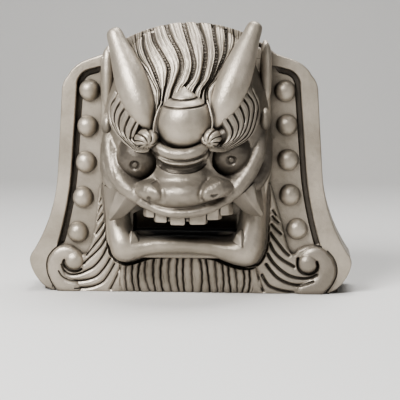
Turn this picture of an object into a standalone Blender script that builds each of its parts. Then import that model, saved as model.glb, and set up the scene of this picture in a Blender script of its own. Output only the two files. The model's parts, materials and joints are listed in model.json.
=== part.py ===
"""Onigawara: a ridge-end roof tile of smoked clay with a demon face, a small standing one.

Places are given as (x, z, d) in millimetres: x to the viewer's right, z up from the underside,
and d forward of the rim's flat face. The head sits a little askew on its plate, as it was made.
"""

import math

import bmesh
import bpy
from mathutils import Matrix, Vector

MM = 0.001

# The plate
RIM_BACK = 50.0  # from the rim's flat face to the back
BASE_HALF = 104.0  # half the flat underside
SHOULDER_Z = 150.0
SHOULDER_R = 17.0
CROWN_Z = 200.5
CROWN_HALF = 56.0
CROWN_R = 103.7
FIELD_DEPTH = 4.5
WALL = 10.0
BACK_SILL = 66.0  # the back is closed up to here, as the foot that the tile stands on

# The studs, five down each side
STUD_COUNT = 5
STUD_R = 8.0
STUD_TOP_Z = 150.5
STUD_STEP = 26.2
STUD_INSET = 11.3  # from the rim's inner edge

# The head
HEAD_Z = 118.0
HEAD_HALF = 62.5
HEAD_UP = 82.5
HEAD_DOWN = 60.0
HEAD_DEPTH = 45.0
HEAD_BACK = -12.0
HEAD_SQUARE = 2.4  # how square the head is from side to side
BLOCK_FRONT = 8.0
JAW_HALF = 59.5
JAW_TOP_Z = 84.0
JAW_BOTTOM_Z = 26.5
JAW_CORNER = 17.0

FRONT = 62.0  # the nose, which stands furthest forward


def clear_scene():
    for thing in list(bpy.data.objects):
        bpy.data.objects.remove(thing)


def collection(name, helper):
    made = bpy.data.collections.new(name)
    made.hide_render = helper
    bpy.context.scene.collection.children.link(made)
    return made


def place(x, z, d):
    """A point of the plate, in metres, with the middle of the part's depth at y = 0."""
    middle = (FRONT - RIM_BACK) / 2
    return Vector((x, middle - d, z)) * MM


def on_head(x, z, d):
    """A point of the head, which is turned a little and has its right side higher."""
    turn = 1.0 - 0.05 * (55.0 - d)
    return place(x + turn, z + 0.035 * x, d)


# ---------------------------------------------------------------- outlines


def outer_half(z):
    """Half the plate's width: almost straight sides that flare towards the foot."""
    flare = max(0.0, (92.0 - z) / 65.0)
    return 95.2 + 0.06 * (SHOULDER_Z - z) + 17.5 * flare**2.2


def inner_half(z):
    """Half the width between the rim's inner edges."""
    flare = max(0.0, (92.0 - z) / 57.0)
    return 83.2 + 0.075 * (SHOULDER_Z - z) + 7.0 * flare**1.8


def crown_z(x):
    """The height of the crown's arch, which carries the hair."""
    return CROWN_Z - CROWN_R + math.sqrt(CROWN_R**2 - x**2)


def arc(cx, cz, radius, start, end, steps):
    """Points on an arc, its angles in degrees from +X."""
    angles = [math.radians(start + (end - start) * i / steps) for i in range(steps + 1)]
    return [(cx + radius * math.cos(a), cz + radius * math.sin(a)) for a in angles]


def spread(start, end, steps):
    return [start + (end - start) * i / steps for i in range(steps + 1)]


def plate_side():
    """The right half of the plate's outline, from the foot up to the crown."""
    toe = [(BASE_HALF, 0.0), (111.0, 4.2), (117.5, 12.5), (121.0, 21.5)]
    side = [(outer_half(z), z) for z in (27, 34, 42, 51, 61, 73, 92)]
    shoulder = arc(outer_half(SHOULDER_Z) - SHOULDER_R, SHOULDER_Z, SHOULDER_R, -4, 44, 4)
    neck = [(87.5, 166.2), (82.0, 170.8), (75.5, 173.8), (69.0, 176.0), (62.5, 178.6)]
    crown = [(x, crown_z(x)) for x in spread(CROWN_HALF, 0.0, 6)]
    return toe + side + shoulder + neck + crown


def both_sides(half, shift=0.0):
    """A closed outline from its right half, which runs upwards and ends on the middle."""
    right = [(x + shift, z) for x, z in half]
    left = [(shift - x, z) for x, z in reversed(half) if x > 0]
    return right + left


# ---------------------------------------------------------------- shapes


def slab(name, outline, back, front, into):
    """A flat outline given a thickness, from depth back to depth front."""
    curve = bpy.data.curves.new(name, "CURVE")
    curve.dimensions = "2D"
    curve.fill_mode = "BOTH"
    curve.extrude = (front - back) / 2 * MM
    spline = curve.splines.new("POLY")
    spline.points.add(len(outline) - 1)
    for point, (x, z) in zip(spline.points, outline):
        point.co = (x * MM, z * MM, 0.0, 1.0)
    spline.use_cyclic_u = True
    made = bpy.data.objects.new(name, curve)
    made.location = place(0.0, 0.0, (back + front) / 2)
    made.rotation_euler = (math.radians(90), 0.0, 0.0)
    into.objects.link(made)
    return as_mesh(made, into)


def tube(name, path, sides, into):
    """A round stroke of changing thickness; the path is a list of (point, radius in mm)."""
    curve = bpy.data.curves.new(name, "CURVE")
    curve.dimensions = "3D"
    curve.bevel_depth = MM
    curve.bevel_resolution = (sides - 4) // 2
    curve.use_fill_caps = True
    spline = curve.splines.new("POLY")
    spline.points.add(len(path) - 1)
    for point, (where, radius) in zip(spline.points, path):
        point.co = (*where, 1.0)
        point.radius = radius
    made = bpy.data.objects.new(name, curve)
    into.objects.link(made)
    return as_mesh(made, into)


def as_mesh(thing, into):
    """The curve's mesh in its place, with the seams at its caps joined."""
    bpy.context.view_layer.update()
    graph = bpy.context.evaluated_depsgraph_get()
    mesh = bpy.data.meshes.new_from_object(thing.evaluated_get(graph))
    bm = bmesh.new()
    bm.from_mesh(mesh)
    bmesh.ops.transform(bm, matrix=thing.matrix_world, verts=bm.verts)
    bmesh.ops.remove_doubles(bm, verts=bm.verts, dist=1e-5)
    bmesh.ops.recalc_face_normals(bm, faces=bm.faces)
    name = thing.name
    bpy.data.objects.remove(thing)
    bpy.data.meshes.remove(mesh)
    return from_bmesh(name, bm, into)


def from_bmesh(name, bm, into):
    mesh = bpy.data.meshes.new(name)
    bm.to_mesh(mesh)
    bm.free()
    made = bpy.data.objects.new(name, mesh)
    into.objects.link(made)
    return made


def ball(name, centre, radii, segments, rings, into):
    """An ellipsoid with a pole to the front; radii are (across, up, forward) in mm."""
    across, up, forward = (r * MM for r in radii)
    size = Matrix.Diagonal((across, forward, up, 1.0))
    face_on = Matrix.Rotation(math.radians(90), 4, "X")
    matrix = Matrix.Translation(centre) @ size @ face_on
    bm = bmesh.new()
    bmesh.ops.create_uvsphere(
        bm, u_segments=segments, v_segments=rings, radius=1.0, matrix=matrix
    )
    return from_bmesh(name, bm, into)


def spike(name, base, tip, radius, sides, into, turn=0.0):
    """A many-sided cone from the middle of its base to its tip."""
    along = tip - base
    aim = along.to_track_quat("Z", "Y").to_matrix().to_4x4()
    bm = bmesh.new()
    bmesh.ops.create_cone(
        bm,
        cap_ends=True,
        segments=sides,
        radius1=radius * MM,
        radius2=0.6 * MM,
        depth=along.length,
        matrix=Matrix.Translation((base + tip) / 2) @ aim @ Matrix.Rotation(turn, 4, "Z"),
    )
    return from_bmesh(name, bm, into)


def smooth_path(stations, steps, placed):
    """A rounded stroke through a few stations (x, z, d, radius), by Catmull-Rom curves."""
    ends = [stations[0]] + list(stations) + [stations[-1]]
    path = []
    for i in range(1, len(ends) - 2):
        a, b, c, e = (Vector(s) for s in ends[i - 1 : i + 3])
        last = steps if i == len(ends) - 3 else steps - 1
        for k in range(last + 1):
            t = k / steps
            bend = (2 * a - 5 * b + 4 * c - e) * t * t + (3 * b - a - 3 * c + e) * t**3
            x, z, d, radius = b + ((c - a) * t + bend) / 2
            path.append((placed(x, z, d), radius))
    return path


# ---------------------------------------------------------------- the head's form


def head_depth(x, z):
    """How far forward the plain mass of the head stands at a place across and up it."""
    rise = HEAD_UP if z > HEAD_Z else HEAD_DOWN
    left = 1.0 - abs(x / HEAD_HALF) ** HEAD_SQUARE - ((z - HEAD_Z) / rise) ** 2
    return HEAD_DEPTH * math.sqrt(max(left, 0.0))


def head_mass(name, shrink, back_d, segments, rings, into):
    """The plain mass of the head: an egg that is squarer from side to side."""
    bm = bmesh.new()
    face_on = Matrix.Rotation(math.radians(90), 4, "X")
    bmesh.ops.create_uvsphere(
        bm, u_segments=segments, v_segments=rings, radius=1.0, matrix=face_on
    )
    for vertex in bm.verts:
        across, back, up = vertex.co
        x = math.copysign(abs(across) ** (2 / HEAD_SQUARE), across) * (HEAD_HALF - shrink)
        z = HEAD_Z + up * ((HEAD_UP if up > 0 else HEAD_DOWN) - shrink)
        vertex.co = on_head(x, z, max(-back * (HEAD_DEPTH - shrink), back_d))
    return from_bmesh(name, bm, into)


def jaw_outline(grow, top):
    """The jaw's rounded end and its sides, carried up to the points of top."""
    low = arc(JAW_HALF - JAW_CORNER, JAW_BOTTOM_Z + JAW_CORNER, JAW_CORNER + grow, -90, 0, 4)
    sides = [(JAW_HALF + grow, JAW_TOP_Z - 12), (HEAD_HALF + grow, JAW_TOP_Z + 4)]
    return both_sides(low + sides + top, shift=-2.2)


# ---------------------------------------------------------------- the parts of the relief


def studs(into):
    for side in (-1, 1):
        for k in range(STUD_COUNT):
            z = STUD_TOP_Z - k * STUD_STEP
            x = side * (inner_half(z) - STUD_INSET) - 1.0
            ball("stud", place(x, z, -FIELD_DEPTH), (STUD_R, STUD_R, STUD_R), 10, 6, into)


HORN = [  # share of the horn's length, radius
    (0.0, 1.5), (0.07, 5.4), (0.19, 10.0), (0.36, 12.0),
    (0.54, 11.4), (0.72, 9.0), (0.88, 6.4), (0.96, 5.4), (1.0, 2.8),
]  # fmt: skip
HORN_ROOT = Vector((23.5, 124.5, 45.0))
HORN_TIP = Vector((51.5, 198.0, 21.0))


def horn(side, into):
    path = []
    for share, radius in HORN:
        x, z, d = HORN_ROOT.lerp(HORN_TIP, share)
        path.append((on_head(side * x, z, d), radius))
    tube("horn", path, 12, into)


JEWEL_PROFILE = [  # height along the jewel's axis, radius
    (-20.0, 0.0), (-15.0, 13.2), (-7.0, 18.7), (3.0, 19.8), (9.5, 17.6), (12.0, 15.8),
    (12.6, 14.6), (14.0, 14.6), (17.4, 9.6), (17.8, 8.2), (19.4, 8.0), (25.6, 0.0),
]  # fmt: skip
JEWEL_CENTRE = (0.0, 129.5, 41.5)
JEWEL_LEAN = 10.5  # degrees forward
JEWEL_STEPS = 18


def jewel(into):
    """The flaming jewel on the forehead: a turned ball with a stepped, pointed cap."""
    bm = bmesh.new()
    chain = [bm.verts.new((radius * MM, 0.0, height * MM)) for height, radius in JEWEL_PROFILE]
    for low, high in zip(chain, chain[1:]):
        bm.edges.new((low, high))
    made = from_bmesh("jewel", bm, into)
    made.location = on_head(*JEWEL_CENTRE)
    made.rotation_euler = (math.radians(JEWEL_LEAN), 0.0, 0.0)
    turned = made.modifiers.new("Turned", "SCREW")
    turned.axis = "Z"
    turned.steps = JEWEL_STEPS
    turned.render_steps = JEWEL_STEPS
    turned.use_merge_vertices = True
    turned.merge_threshold = 1e-5
    as_mesh(made, into)


# Rolls of clay as (x, z, d, radius). The first three run down each side of the face, the
# others from its left to its middle and on to its right.
CHEEK = [(57, 133, 17, 4), (57, 117, 18, 6), (54.5, 101, 24, 8), (47, 90, 31, 8.5), (33, 80, 40, 6)]
JOWL = [(58, 108, 8, 5), (55.5, 92, 15, 7), (47, 81.5, 24, 7.5), (35, 74, 31, 6.5)]
LID = [
    (49, 112, 33, 1.5), (49.5, 101, 37, 2.2), (43, 90.5, 42, 2.4),
    (32, 86.5, 46, 2.4), (21, 92, 46, 1.5),
]  # fmt: skip
BROW_BED = [(26, 117, 41, 6), (43, 129, 30, 9.5), (55, 147, 14, 7)]
TUFT = [(58.5, 174, 7, 2.4), (59, 165, 10, 2.6), (59, 149, 10, 2.2)]
BROW_ROLL = [(-22, 117, 49, 3.4), (-12, 111, 53, 3.6), (0, 109.2, 54.5, 3.8)]
BROW_LEDGE = [(-20, 106, 46, 4), (-11, 101, 50, 4.6), (0, 99, 51.5, 4.8)]
LIP = [(-35, 73.5, 35, 3), (-26, 68.8, 42, 3.2), (-14, 66.2, 47.5, 3.3), (0, 65.4, 49, 3.4)]


def mirrored(half):
    """A roll from its left end to the middle, carried on to the right."""
    return half + [(-x, z, d, r) for x, z, d, r in reversed(half[:-1])]


def rolls(into):
    pairs = (("cheek", CHEEK, 8), ("jowl", JOWL, 8), ("lid", LID, 6), ("brow", BROW_BED, 8))
    for side in (-1, 1):
        for name, roll, sides in pairs:
            path = smooth_path(roll, 2, lambda x, z, d, side=side: on_head(side * x, z, d))
            tube(name, path, sides, into)
        tube("tuft", [(on_head(side * x, z, d), r) for x, z, d, r in TUFT], 6, into)
    for name, half in (("brow roll", BROW_ROLL), ("brow ledge", BROW_LEDGE), ("lip", LIP)):
        tube(name, smooth_path(mirrored(half), 2, on_head), 8, into)


def masses(into):
    """The rounded masses: muzzle, nose, brow curls, eyeballs and ears."""
    ball("muzzle", on_head(0, 81, 24), (42, 18, 27), 16, 8, into)
    ball("nose root", on_head(0, 99, 36), (23, 13, 14), 12, 6, into)
    ball("nose", on_head(0, 84, 44), (21.5, 12.5, FRONT - 44), 16, 8, into)
    for side in (-1, 1):
        ball("nose wing", on_head(side * 26, 85.5, 41), (11, 10, 14), 12, 6, into)
        ball("eyeball", on_head(side * 34, 102, 30), (16, 15.5, 16), 16, 8, into)
        ball("brow curl", on_head(side * 24.5, 117, 47), (8, 7.4, 9), 10, 6, into)
        ball("cheek hollow", on_head(side * 39.5, 87, 22), (8, 8, 10), 8, 4, into)
        ball("ear", on_head(side * 56.5, 133, 12), (4.6, 4.6, 6), 8, 4, into)


BROW_TOP = [(24.0, 124.0, 47.0), (41.0, 140.0, 37.0), (57.0, 154.0, 22.0)]
BROW_LOW = [(26.0, 109.0, 47.0), (49.5, 119.0, 33.0), (58.5, 143.0, 19.0)]
BROW_LOCKS = 8


def along(points, share):
    """A place on the curve through three points, share from 0 to 1."""
    a, b, c = (Vector(p) for p in points)
    handle = 2 * b - (a + c) / 2
    return a.lerp(handle, share).lerp(handle.lerp(c, share), share)


def brow(side, into):
    """A comb of locks that hang from the horn's edge and lean to the curl."""
    for k in range(BROW_LOCKS):
        share = (k + 0.6) / BROW_LOCKS
        top = along(BROW_TOP, share)
        low = along(BROW_LOW, share * 0.92)
        belly = (top + low) / 2 + Vector((2.5, 0.0, 5.0))
        path = []
        for t, radius in ((0.0, 2.2), (0.4, 3.5), (1.0, 1.9)):
            x, z, d = along((top, belly, low), t)
            path.append((on_head(side * x, z, d), radius))
        tube("brow lock", path, 6, into)


JAW = [  # the U of the lower jaw, from the left cheek to the middle of the lip
    (-51.5, 86, 5, 7.0), (-51, 62, 9, 8.5), (-49, 45.5, 12, 9.6),
    (-40, 35.5, 14, 9.8), (-22, 36, 13.5, 8.0), (0, 37.5, 13.5, 7.6),
]  # fmt: skip


def jaw(into):
    """The lower lip and the sides of the mouth: one fat roll, like a U."""
    path = smooth_path(mirrored(JAW), 2, lambda x, z, d: place(x - 2.6, z, d))
    tube("jaw roll", path, 10, into)


BEARD_HALF = 55.0
BEARD_TOP = 31.0
BEARD_RISE = 5.0  # how far the beard's top stands in front of its foot
VOLUTE = (90.5, 19.0)  # the middle of the roll at each foot
VOLUTE_EYE = (87.5, 24.5, 0.5)


def volute_place(turn, reach):
    """A place round the volute: turn in degrees from the outer side, reach from its middle."""
    angle = math.radians(turn)
    return VOLUTE[0] + reach * math.cos(angle), VOLUTE[1] + reach * math.sin(angle)


def volutes(into):
    """At each foot the whiskers gather into a roll that curls round to a raised eye."""
    for side in (-1, 1):
        path = []
        for t in spread(0.0, 1.0, 9):
            x, z = volute_place(-125.0 + 285.0 * t, 13.0 - 4.5 * t**2)
            radius = 3.0 + 4.6 * math.sin(math.pi / 2 * min(1.0, 1.7 * t))
            path.append((place(side * x - 0.5, max(z, radius * 0.75), -3.2), radius))
        tube("volute", path, 8, into)
        x, z, d = VOLUTE_EYE
        ball("volute eye", place(side * x - 0.5, z, d), (6.8, 6.8, 5.5), 10, 6, into)


def pads(into):
    """What rises from the plate before the jaw's groove is cut: the beard and the volutes."""
    bm = bmesh.new()
    size = Matrix.Diagonal((2 * BEARD_HALF * MM, 10 * MM, BEARD_TOP * MM, 1.0))
    middle = Matrix.Translation(place(-2.4, BEARD_TOP / 2, -4.7))
    bmesh.ops.create_cube(bm, size=1.0, matrix=middle @ size)
    for vertex in bm.verts:
        if vertex.co.z > BEARD_TOP * MM / 2:
            vertex.co.y -= BEARD_RISE * MM
    from_bmesh("beard", bm, into)
    volutes(into)


def relief(into):
    crown = [(HEAD_HALF, 175.5)] + [(x, crown_z(x) - 2.5) for x in spread(CROWN_HALF, 0.0, 6)]
    slab("block", jaw_outline(0.0, crown), -FIELD_DEPTH - 4.0, BLOCK_FRONT, into)
    head_mass("head", 0.0, HEAD_BACK, 24, 14, into)
    studs(into)
    masses(into)
    jewel(into)
    rolls(into)
    jaw(into)
    for side in (-1, 1):
        horn(side, into)
        brow(side, into)


# ---------------------------------------------------------------- what is cut into the clay

HAIR_LOCKS = 12


def hair_place(share, t):
    """A place on a hair channel: t runs from the jewel, out to the right, and back to the crown."""
    low_x = -16.0 + 33.0 * share
    low_z = 153.0 - 9.0 * (2 * share - 1) ** 2
    top_x = -43.0 + 88.0 * share
    top_z = crown_z(top_x) - 0.5
    x = low_x + (top_x - low_x) * t**1.15 + 3.6 * math.sin(2 * math.pi * t**0.85)
    return x, low_z + (top_z - low_z) * t


def hair(into):
    """Channels between the locks, wide above and closing towards the jewel."""
    for k in range(HAIR_LOCKS + 1):
        path = []
        for t in spread(0.0, 1.0, 5):
            x, z = hair_place(k / HAIR_LOCKS, t)
            depth = max(head_depth(x, z), BLOCK_FRONT)
            radius = 1.2 + 1.3 * math.sin(math.pi * min(t + 0.15, 1.0))
            path.append((on_head(x, z, depth + 0.4), radius))
        path.append((on_head(x, z + 4, BLOCK_FRONT + 1), 2.0))
        tube("hair channel", path, 4, into)


BEARD_LOCKS = 22


def beard(into):
    """Grooves under the lip, a little fanned out at the sides."""
    for k in range(BEARD_LOCKS + 1):
        share = 2 * k / BEARD_LOCKS - 1
        top_z = 28.5 - 4.5 * math.sin(math.pi / 2 * abs(share))
        high = Vector((52 * share - 2.4, top_z, 4.5))
        low = Vector((56 * share - 2.4, -2.0, 0.3))
        path = []
        for t, radius in ((0.0, 0.9), (0.5, 1.3), (1.0, 0.9)):
            x, z, d = high.lerp(low, t)
            path.append((place(x + 1.2 * share * math.sin(math.pi * t), z, d), radius))
        tube("beard groove", path, 4, into)


WHISKERS = 8


def whiskers(side, into):
    """Knife cuts that fall away from the jaw's side and sweep under the volute."""
    for k in range(WHISKERS):
        share = k / (WHISKERS - 1)
        x = JAW_HALF + 3.6 - 9.0 * max(0.0, share - 0.7) / 0.3
        z = 72.0 - 49.0 * share
        reach = 6.0 + 30.0 * share
        drop = 8.0 + 9.0 * share
        path = []
        for t in spread(0.0, 1.0, 4):
            fall = drop * (t if share < 0.5 else math.sin(t * math.pi / 2) ** 0.9)
            where = place(side * (x + reach * t) - 1.5, max(z - fall, 2.2), 0.3)
            path.append((where, 1.5 * math.sin(math.pi * (0.12 + 0.8 * t))))
        tube("whisker cut", path, 4, into)


def volute_groove(side, into):
    """The hook between the roll and its eye."""
    path = []
    for t in spread(0.0, 1.0, 6):
        x, z = volute_place(-80.0 + 240.0 * t, 5.5 + 1.5 * math.sin(math.pi * t))
        path.append((place(side * (x - 1.0) - 0.5, z + 3.0, 4.0 - 2.0 * t), 1.6))
    tube("volute groove", path, 4, into)


def carving(into):
    hair(into)
    beard(into)
    for side in (-1, 1):
        whiskers(side, into)
        volute_groove(side, into)
        pupil = on_head(side * 35, 97.5, 52)
        spike("pupil", pupil, on_head(side * 34.9, 98.5, 42), 3.6, 8, into)
        nostril = on_head(side * 24.5, 77.5, 58)
        spike("nostril", nostril, on_head(side * 24, 81, 46), 2.6, 6, into)


# ---------------------------------------------------------------- the plate and its hollows


def plate(parts):
    """The flared plate, still solid behind."""
    return slab("onigawara_tile", both_sides(plate_side()), -RIM_BACK, 0.0, parts)


def field_edges():
    """A sunk field's edge on the right: along the rim and over its top, and back down inside."""
    rim = [(inner_half(z), z) for z in (37, 44, 52, 61, 73, 90, 152)]
    rim += arc(inner_half(SHOULDER_Z) - 13.0, 154.0, 13.0, 12, 80, 4)
    return rim, [(66.0, 169.0), (58.0, 169.0), (58.0, 92.0), (65.0, 84.0), (77.5, 37.0)]


def sunk_fields(into):
    """The fields, each with a deeper groove along the rim, and the groove round the jaw."""
    rim, inside = field_edges()
    for side in (-1, 1):
        outline = [(side * x - 0.8, z) for x, z in rim + inside]
        slab("field", outline, -FIELD_DEPTH, 2.0, into)
        path = [(place(side * (x - 1.5) - 0.8, z, -FIELD_DEPTH), 2.2) for x, z in rim[1:]]
        tube("rim groove", path, 4, into)
    groove = jaw_outline(2.2, [(HEAD_HALF - 4.0, JAW_TOP_Z + 14)])
    slab("jaw groove", groove, -FIELD_DEPTH, BLOCK_FRONT, into)


def hollow(into):
    """A pocket inside the plate, a dome inside the head, the way in from behind, and the mouth."""
    shoulder_x = outer_half(SHOULDER_Z) - SHOULDER_R
    pocket = [(BASE_HALF - 8.0, WALL), (BASE_HALF + 2.0, 22.0)]
    pocket += [(outer_half(z) - WALL, z) for z in (34, 46, 64, 92)]
    pocket += arc(shoulder_x, SHOULDER_Z, SHOULDER_R - WALL, 0, 68, 3)
    pocket += [(x, crown_z(x) - WALL) for x in spread(CROWN_HALF - 6.0, 0.0, 5)]
    slab("pocket", both_sides(pocket), WALL - RIM_BACK, -FIELD_DEPTH - WALL, into)
    way_in = [(outer_half(z) - 2 * WALL, z) for z in (BACK_SILL, 92)]
    way_in += arc(shoulder_x - 10, SHOULDER_Z - 8, SHOULDER_R - WALL, 0, 68, 3)
    way_in += [(x, crown_z(x) - 2 * WALL) for x in spread(CROWN_HALF - 10.0, 0.0, 5)]
    slab("way in", both_sides(way_in), -RIM_BACK - 2.0, 3.0 - FIELD_DEPTH - WALL, into)
    head_mass("dome", WALL, -RIM_BACK, 18, 10, into)
    mouth = [(-41, 47), (36, 47), (36, 60), (27, 65), (-31, 65), (-41, 60)]
    slab("mouth", mouth, -FIELD_DEPTH - WALL - 4.0, 34.0, into)


# ---------------------------------------------------------------- teeth and fangs

TEETH = [  # left edge, right edge and the height of its biting edge
    (-30.0, -23.0, 60.8), (-22.3, -13.2, 57.6), (-10.4, 0.4, 56.2),
    (4.0, 15.9, 56.6), (16.7, 25.4, 59.6), (26.3, 33.0, 62.6),
]  # fmt: skip
BITE_CURVE = 0.0105  # how fast the row of teeth falls back from its middle, per mm


def bite(into):
    for left, right, tip_z in TEETH:
        middle = (left + right) / 2
        depth = 44.0 - BITE_CURVE * middle**2
        height = 69.5 - tip_z + 0.004 * middle**2
        size = Matrix.Diagonal(((right - left) * MM, 7.0 * MM, height * MM, 1.0))
        turn = Matrix.Rotation(-1.6 * BITE_CURVE * middle, 4, "Z")
        centre = Matrix.Translation(place(middle + 0.6, tip_z + height / 2, depth))
        bm = bmesh.new()
        bmesh.ops.create_cube(bm, size=1.0, matrix=centre @ turn @ size)
        from_bmesh("tooth", bm, into)
    for side in (-1, 1):
        base = on_head(side * 39, 79, 26)
        spike("upper fang", base, on_head(side * 54.5, 60.5, 33), 11.5, 5, into, turn=0.5)
        base = place(side * 40 - 1, 36, 15)
        spike("lower fang", base, place(side * 39.5 - 1, 50.5, 23), 7.0, 5, into, turn=0.9)


# ---------------------------------------------------------------- building it

KEPT_TRIANGLES = 0.78
STAGES = (  # what is joined on or cut away, in turn; EXACT leaves open edges among many strokes
    ("pads", "UNION", "EXACT", pads),
    ("sunk fields", "DIFFERENCE", "EXACT", sunk_fields),
    ("relief", "UNION", "MANIFOLD", relief),
    ("carving", "DIFFERENCE", "MANIFOLD", carving),
    ("hollow", "DIFFERENCE", "MANIFOLD", hollow),
    ("bite", "UNION", "MANIFOLD", bite),
)


def clay():
    """Smoked clay: silver grey, with a soft, slightly metallic sheen."""
    material = bpy.data.materials.new("smoked clay")
    material.use_nodes = True
    shader = material.node_tree.nodes["Principled BSDF"]
    shader.inputs["Base Color"].default_value = (0.30, 0.28, 0.26, 1.0)
    shader.inputs["Roughness"].default_value = 0.45
    shader.inputs["Metallic"].default_value = 0.35
    return material


def main():
    clear_scene()
    tile = plate(collection("onigawara", helper=False))
    for name, operation, solver, make in STAGES:
        helpers = collection(name, helper=True)
        make(helpers)
        for helper in helpers.objects:
            helper.display_type = "WIRE"
        step = tile.modifiers.new(name, "BOOLEAN")
        step.operation = operation
        step.solver = solver
        step.operand_type = "COLLECTION"
        step.collection = helpers
    thin = tile.modifiers.new("thin the slivers that the cuts leave", "DECIMATE")
    thin.ratio = KEPT_TRIANGLES
    tile.data.materials.append(clay())


main()
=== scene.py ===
"""The clay and carving of a standing onigawara tile, built round its packed solid.

Shapes are worked out in the tile's own millimetres: x to the viewer's right, z up from the
underside, d forward of the rim's flat face. The last step of each turns them into metres.
"""

import json
import math

import bmesh
import bpy
import numpy as np
from bpy.props import FloatProperty, FloatVectorProperty, PointerProperty
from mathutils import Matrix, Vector

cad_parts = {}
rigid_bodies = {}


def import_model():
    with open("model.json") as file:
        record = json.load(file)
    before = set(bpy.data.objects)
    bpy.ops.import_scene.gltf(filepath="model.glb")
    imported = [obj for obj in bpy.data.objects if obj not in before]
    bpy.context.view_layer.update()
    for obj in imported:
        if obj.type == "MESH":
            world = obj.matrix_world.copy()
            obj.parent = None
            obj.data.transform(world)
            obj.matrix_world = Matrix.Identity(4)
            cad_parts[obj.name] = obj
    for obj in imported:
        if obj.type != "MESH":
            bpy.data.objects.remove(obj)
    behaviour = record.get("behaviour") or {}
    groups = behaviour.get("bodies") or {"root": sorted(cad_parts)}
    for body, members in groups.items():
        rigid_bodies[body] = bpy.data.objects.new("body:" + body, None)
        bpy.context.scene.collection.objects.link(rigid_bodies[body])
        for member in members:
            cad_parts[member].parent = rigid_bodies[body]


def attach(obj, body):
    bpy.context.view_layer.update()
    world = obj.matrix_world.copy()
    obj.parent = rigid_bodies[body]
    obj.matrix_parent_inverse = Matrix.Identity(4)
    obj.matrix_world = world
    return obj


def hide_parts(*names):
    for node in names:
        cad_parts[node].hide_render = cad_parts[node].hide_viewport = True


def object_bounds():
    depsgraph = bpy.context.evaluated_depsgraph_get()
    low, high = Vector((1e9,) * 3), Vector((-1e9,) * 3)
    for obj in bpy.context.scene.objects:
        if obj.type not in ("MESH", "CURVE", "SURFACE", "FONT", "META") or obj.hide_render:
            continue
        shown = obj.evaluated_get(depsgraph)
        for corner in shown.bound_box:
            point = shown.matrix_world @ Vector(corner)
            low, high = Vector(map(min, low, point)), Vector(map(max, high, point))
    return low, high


bl_info = {
    "name": "Onigawara roof tile",
    "version": (1, 0, 0),
    "blender": (4, 5, 0),
    "location": "3D View > Sidebar > Onigawara",
    "description": "Carved relief and smoked clay for a standing ridge-end tile",
    "category": "Add Mesh",
}

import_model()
CAD_LOW, CAD_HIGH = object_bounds()
NODE = "onigawara_tile"
MM = 0.001
FORWARD = np.array((0.0, 0.0, 1.0))

# ---------------------------------------------------------------- the tile's own measures, in mm

BACK = 50.0  # from the rim's flat face to the back
RIM_Y = CAD_HIGH.y / MM - BACK
WALL = 10.0
FIELD = 4.5  # how far the studded fields lie behind the rim's face
SILL = 66.0  # the height of the closed foot behind
SHOULDER_Z = 150.0
SHOULDER_R = 17.0
CROWN_Z = 200.5
CROWN_HALF = 56.0
CROWN_R = 103.7
FOOT = ((104.0, 0.0), (111.0, 4.2), (117.5, 12.5), (120.9, 21.5))
NECK = ((87.5, 166.2), (82.0, 170.8), (75.5, 173.8), (69.0, 176.0), (62.5, 178.6))

HEAD_Z = 118.0
HEAD_HALF = 62.5
HEAD_UP = 82.5
HEAD_DOWN = 60.0
HEAD_DEPTH = 45.0
HEAD_SQUARE = 2.4  # how square the head is from side to side
BLOCK_FRONT = 8.0
JAW_HALF = 59.5
JAW_LOW_Z = 26.5
JAW_CORNER = 17.0
JAW_SHIFT = -2.2  # the jaw sits a little to the left


def outer_half(z):
    """Half the plate's width: a straight slope, and a flare that grows as height lost to a power."""
    flare = np.maximum(0.0, (92.0 - z) / 65.0)
    return 95.2 + 0.06 * (SHOULDER_Z - z) + 17.5 * flare**2.2


def inner_half(z):
    """Half the width between the rim's inner edges, by the same rule."""
    flare = np.maximum(0.0, (92.0 - z) / 57.0)
    return 83.2 + 0.075 * (SHOULDER_Z - z) + 7.0 * flare**1.8


def crown_z(x):
    """The height of the crown: an arc of a circle."""
    return CROWN_Z - CROWN_R + np.sqrt(np.maximum(CROWN_R**2 - x**2, 0.0))


def head_depth(x, z):
    """The plain head: its depth is the root of what is left of one after x and z are taken."""
    rise = np.where(z > HEAD_Z, HEAD_UP, HEAD_DOWN)
    left = 1.0 - np.abs(x / HEAD_HALF) ** HEAD_SQUARE - ((z - HEAD_Z) / rise) ** 2
    return HEAD_DEPTH * np.sqrt(np.maximum(left, 0.0))


# ---------------------------------------------------------------- curves and surfaces


def place(points):
    """Rows of x, z, d in millimetres as rows of x, y, z in metres."""
    x, z, d = np.moveaxis(np.asarray(points, float), -1, 0)
    return grid_of(x, RIM_Y - d, z) * MM


def on_head(points):
    """Points of the head, which is turned a little and has its right side higher."""
    x, z, d = np.moveaxis(np.asarray(points, float), -1, 0)
    return grid_of(x + 1.0 - 0.05 * (55.0 - d), z + 0.035 * x, d)


def mirrored(points, side):
    """The points with x taken to the given side, 1 or -1."""
    return np.asarray(points, float) * np.array((side, 1.0, 1.0, 1.0))[: np.shape(points)[-1]]


def grid_of(x, z, d):
    """Three arrays that fit one another, as one grid of points."""
    return np.stack(np.broadcast_arrays(x, z, d), axis=-1)


def full_turn(count):
    """A row of angles at equal steps round a circle."""
    return np.linspace(0.0, 2 * math.pi, count, endpoint=False)[None]


def unit(vectors):
    """The vectors, each made one long."""
    return vectors / np.maximum(np.linalg.norm(vectors, axis=-1, keepdims=True), 1e-9)


def ease(value, low, high):
    """From 0 at low to 1 at high, by the cubic that starts and ends level."""
    t = np.clip((value - low) / (high - low), 0.0, 1.0)
    return t * t * (3.0 - 2.0 * t)


def soft_min(a, b, blend):
    """The smaller of two gaps, with the corner between them rounded over the blend."""
    near = np.maximum(blend - np.abs(a - b), 0.0) / blend
    return np.minimum(a, b) - near * near * blend / 4.0


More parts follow.
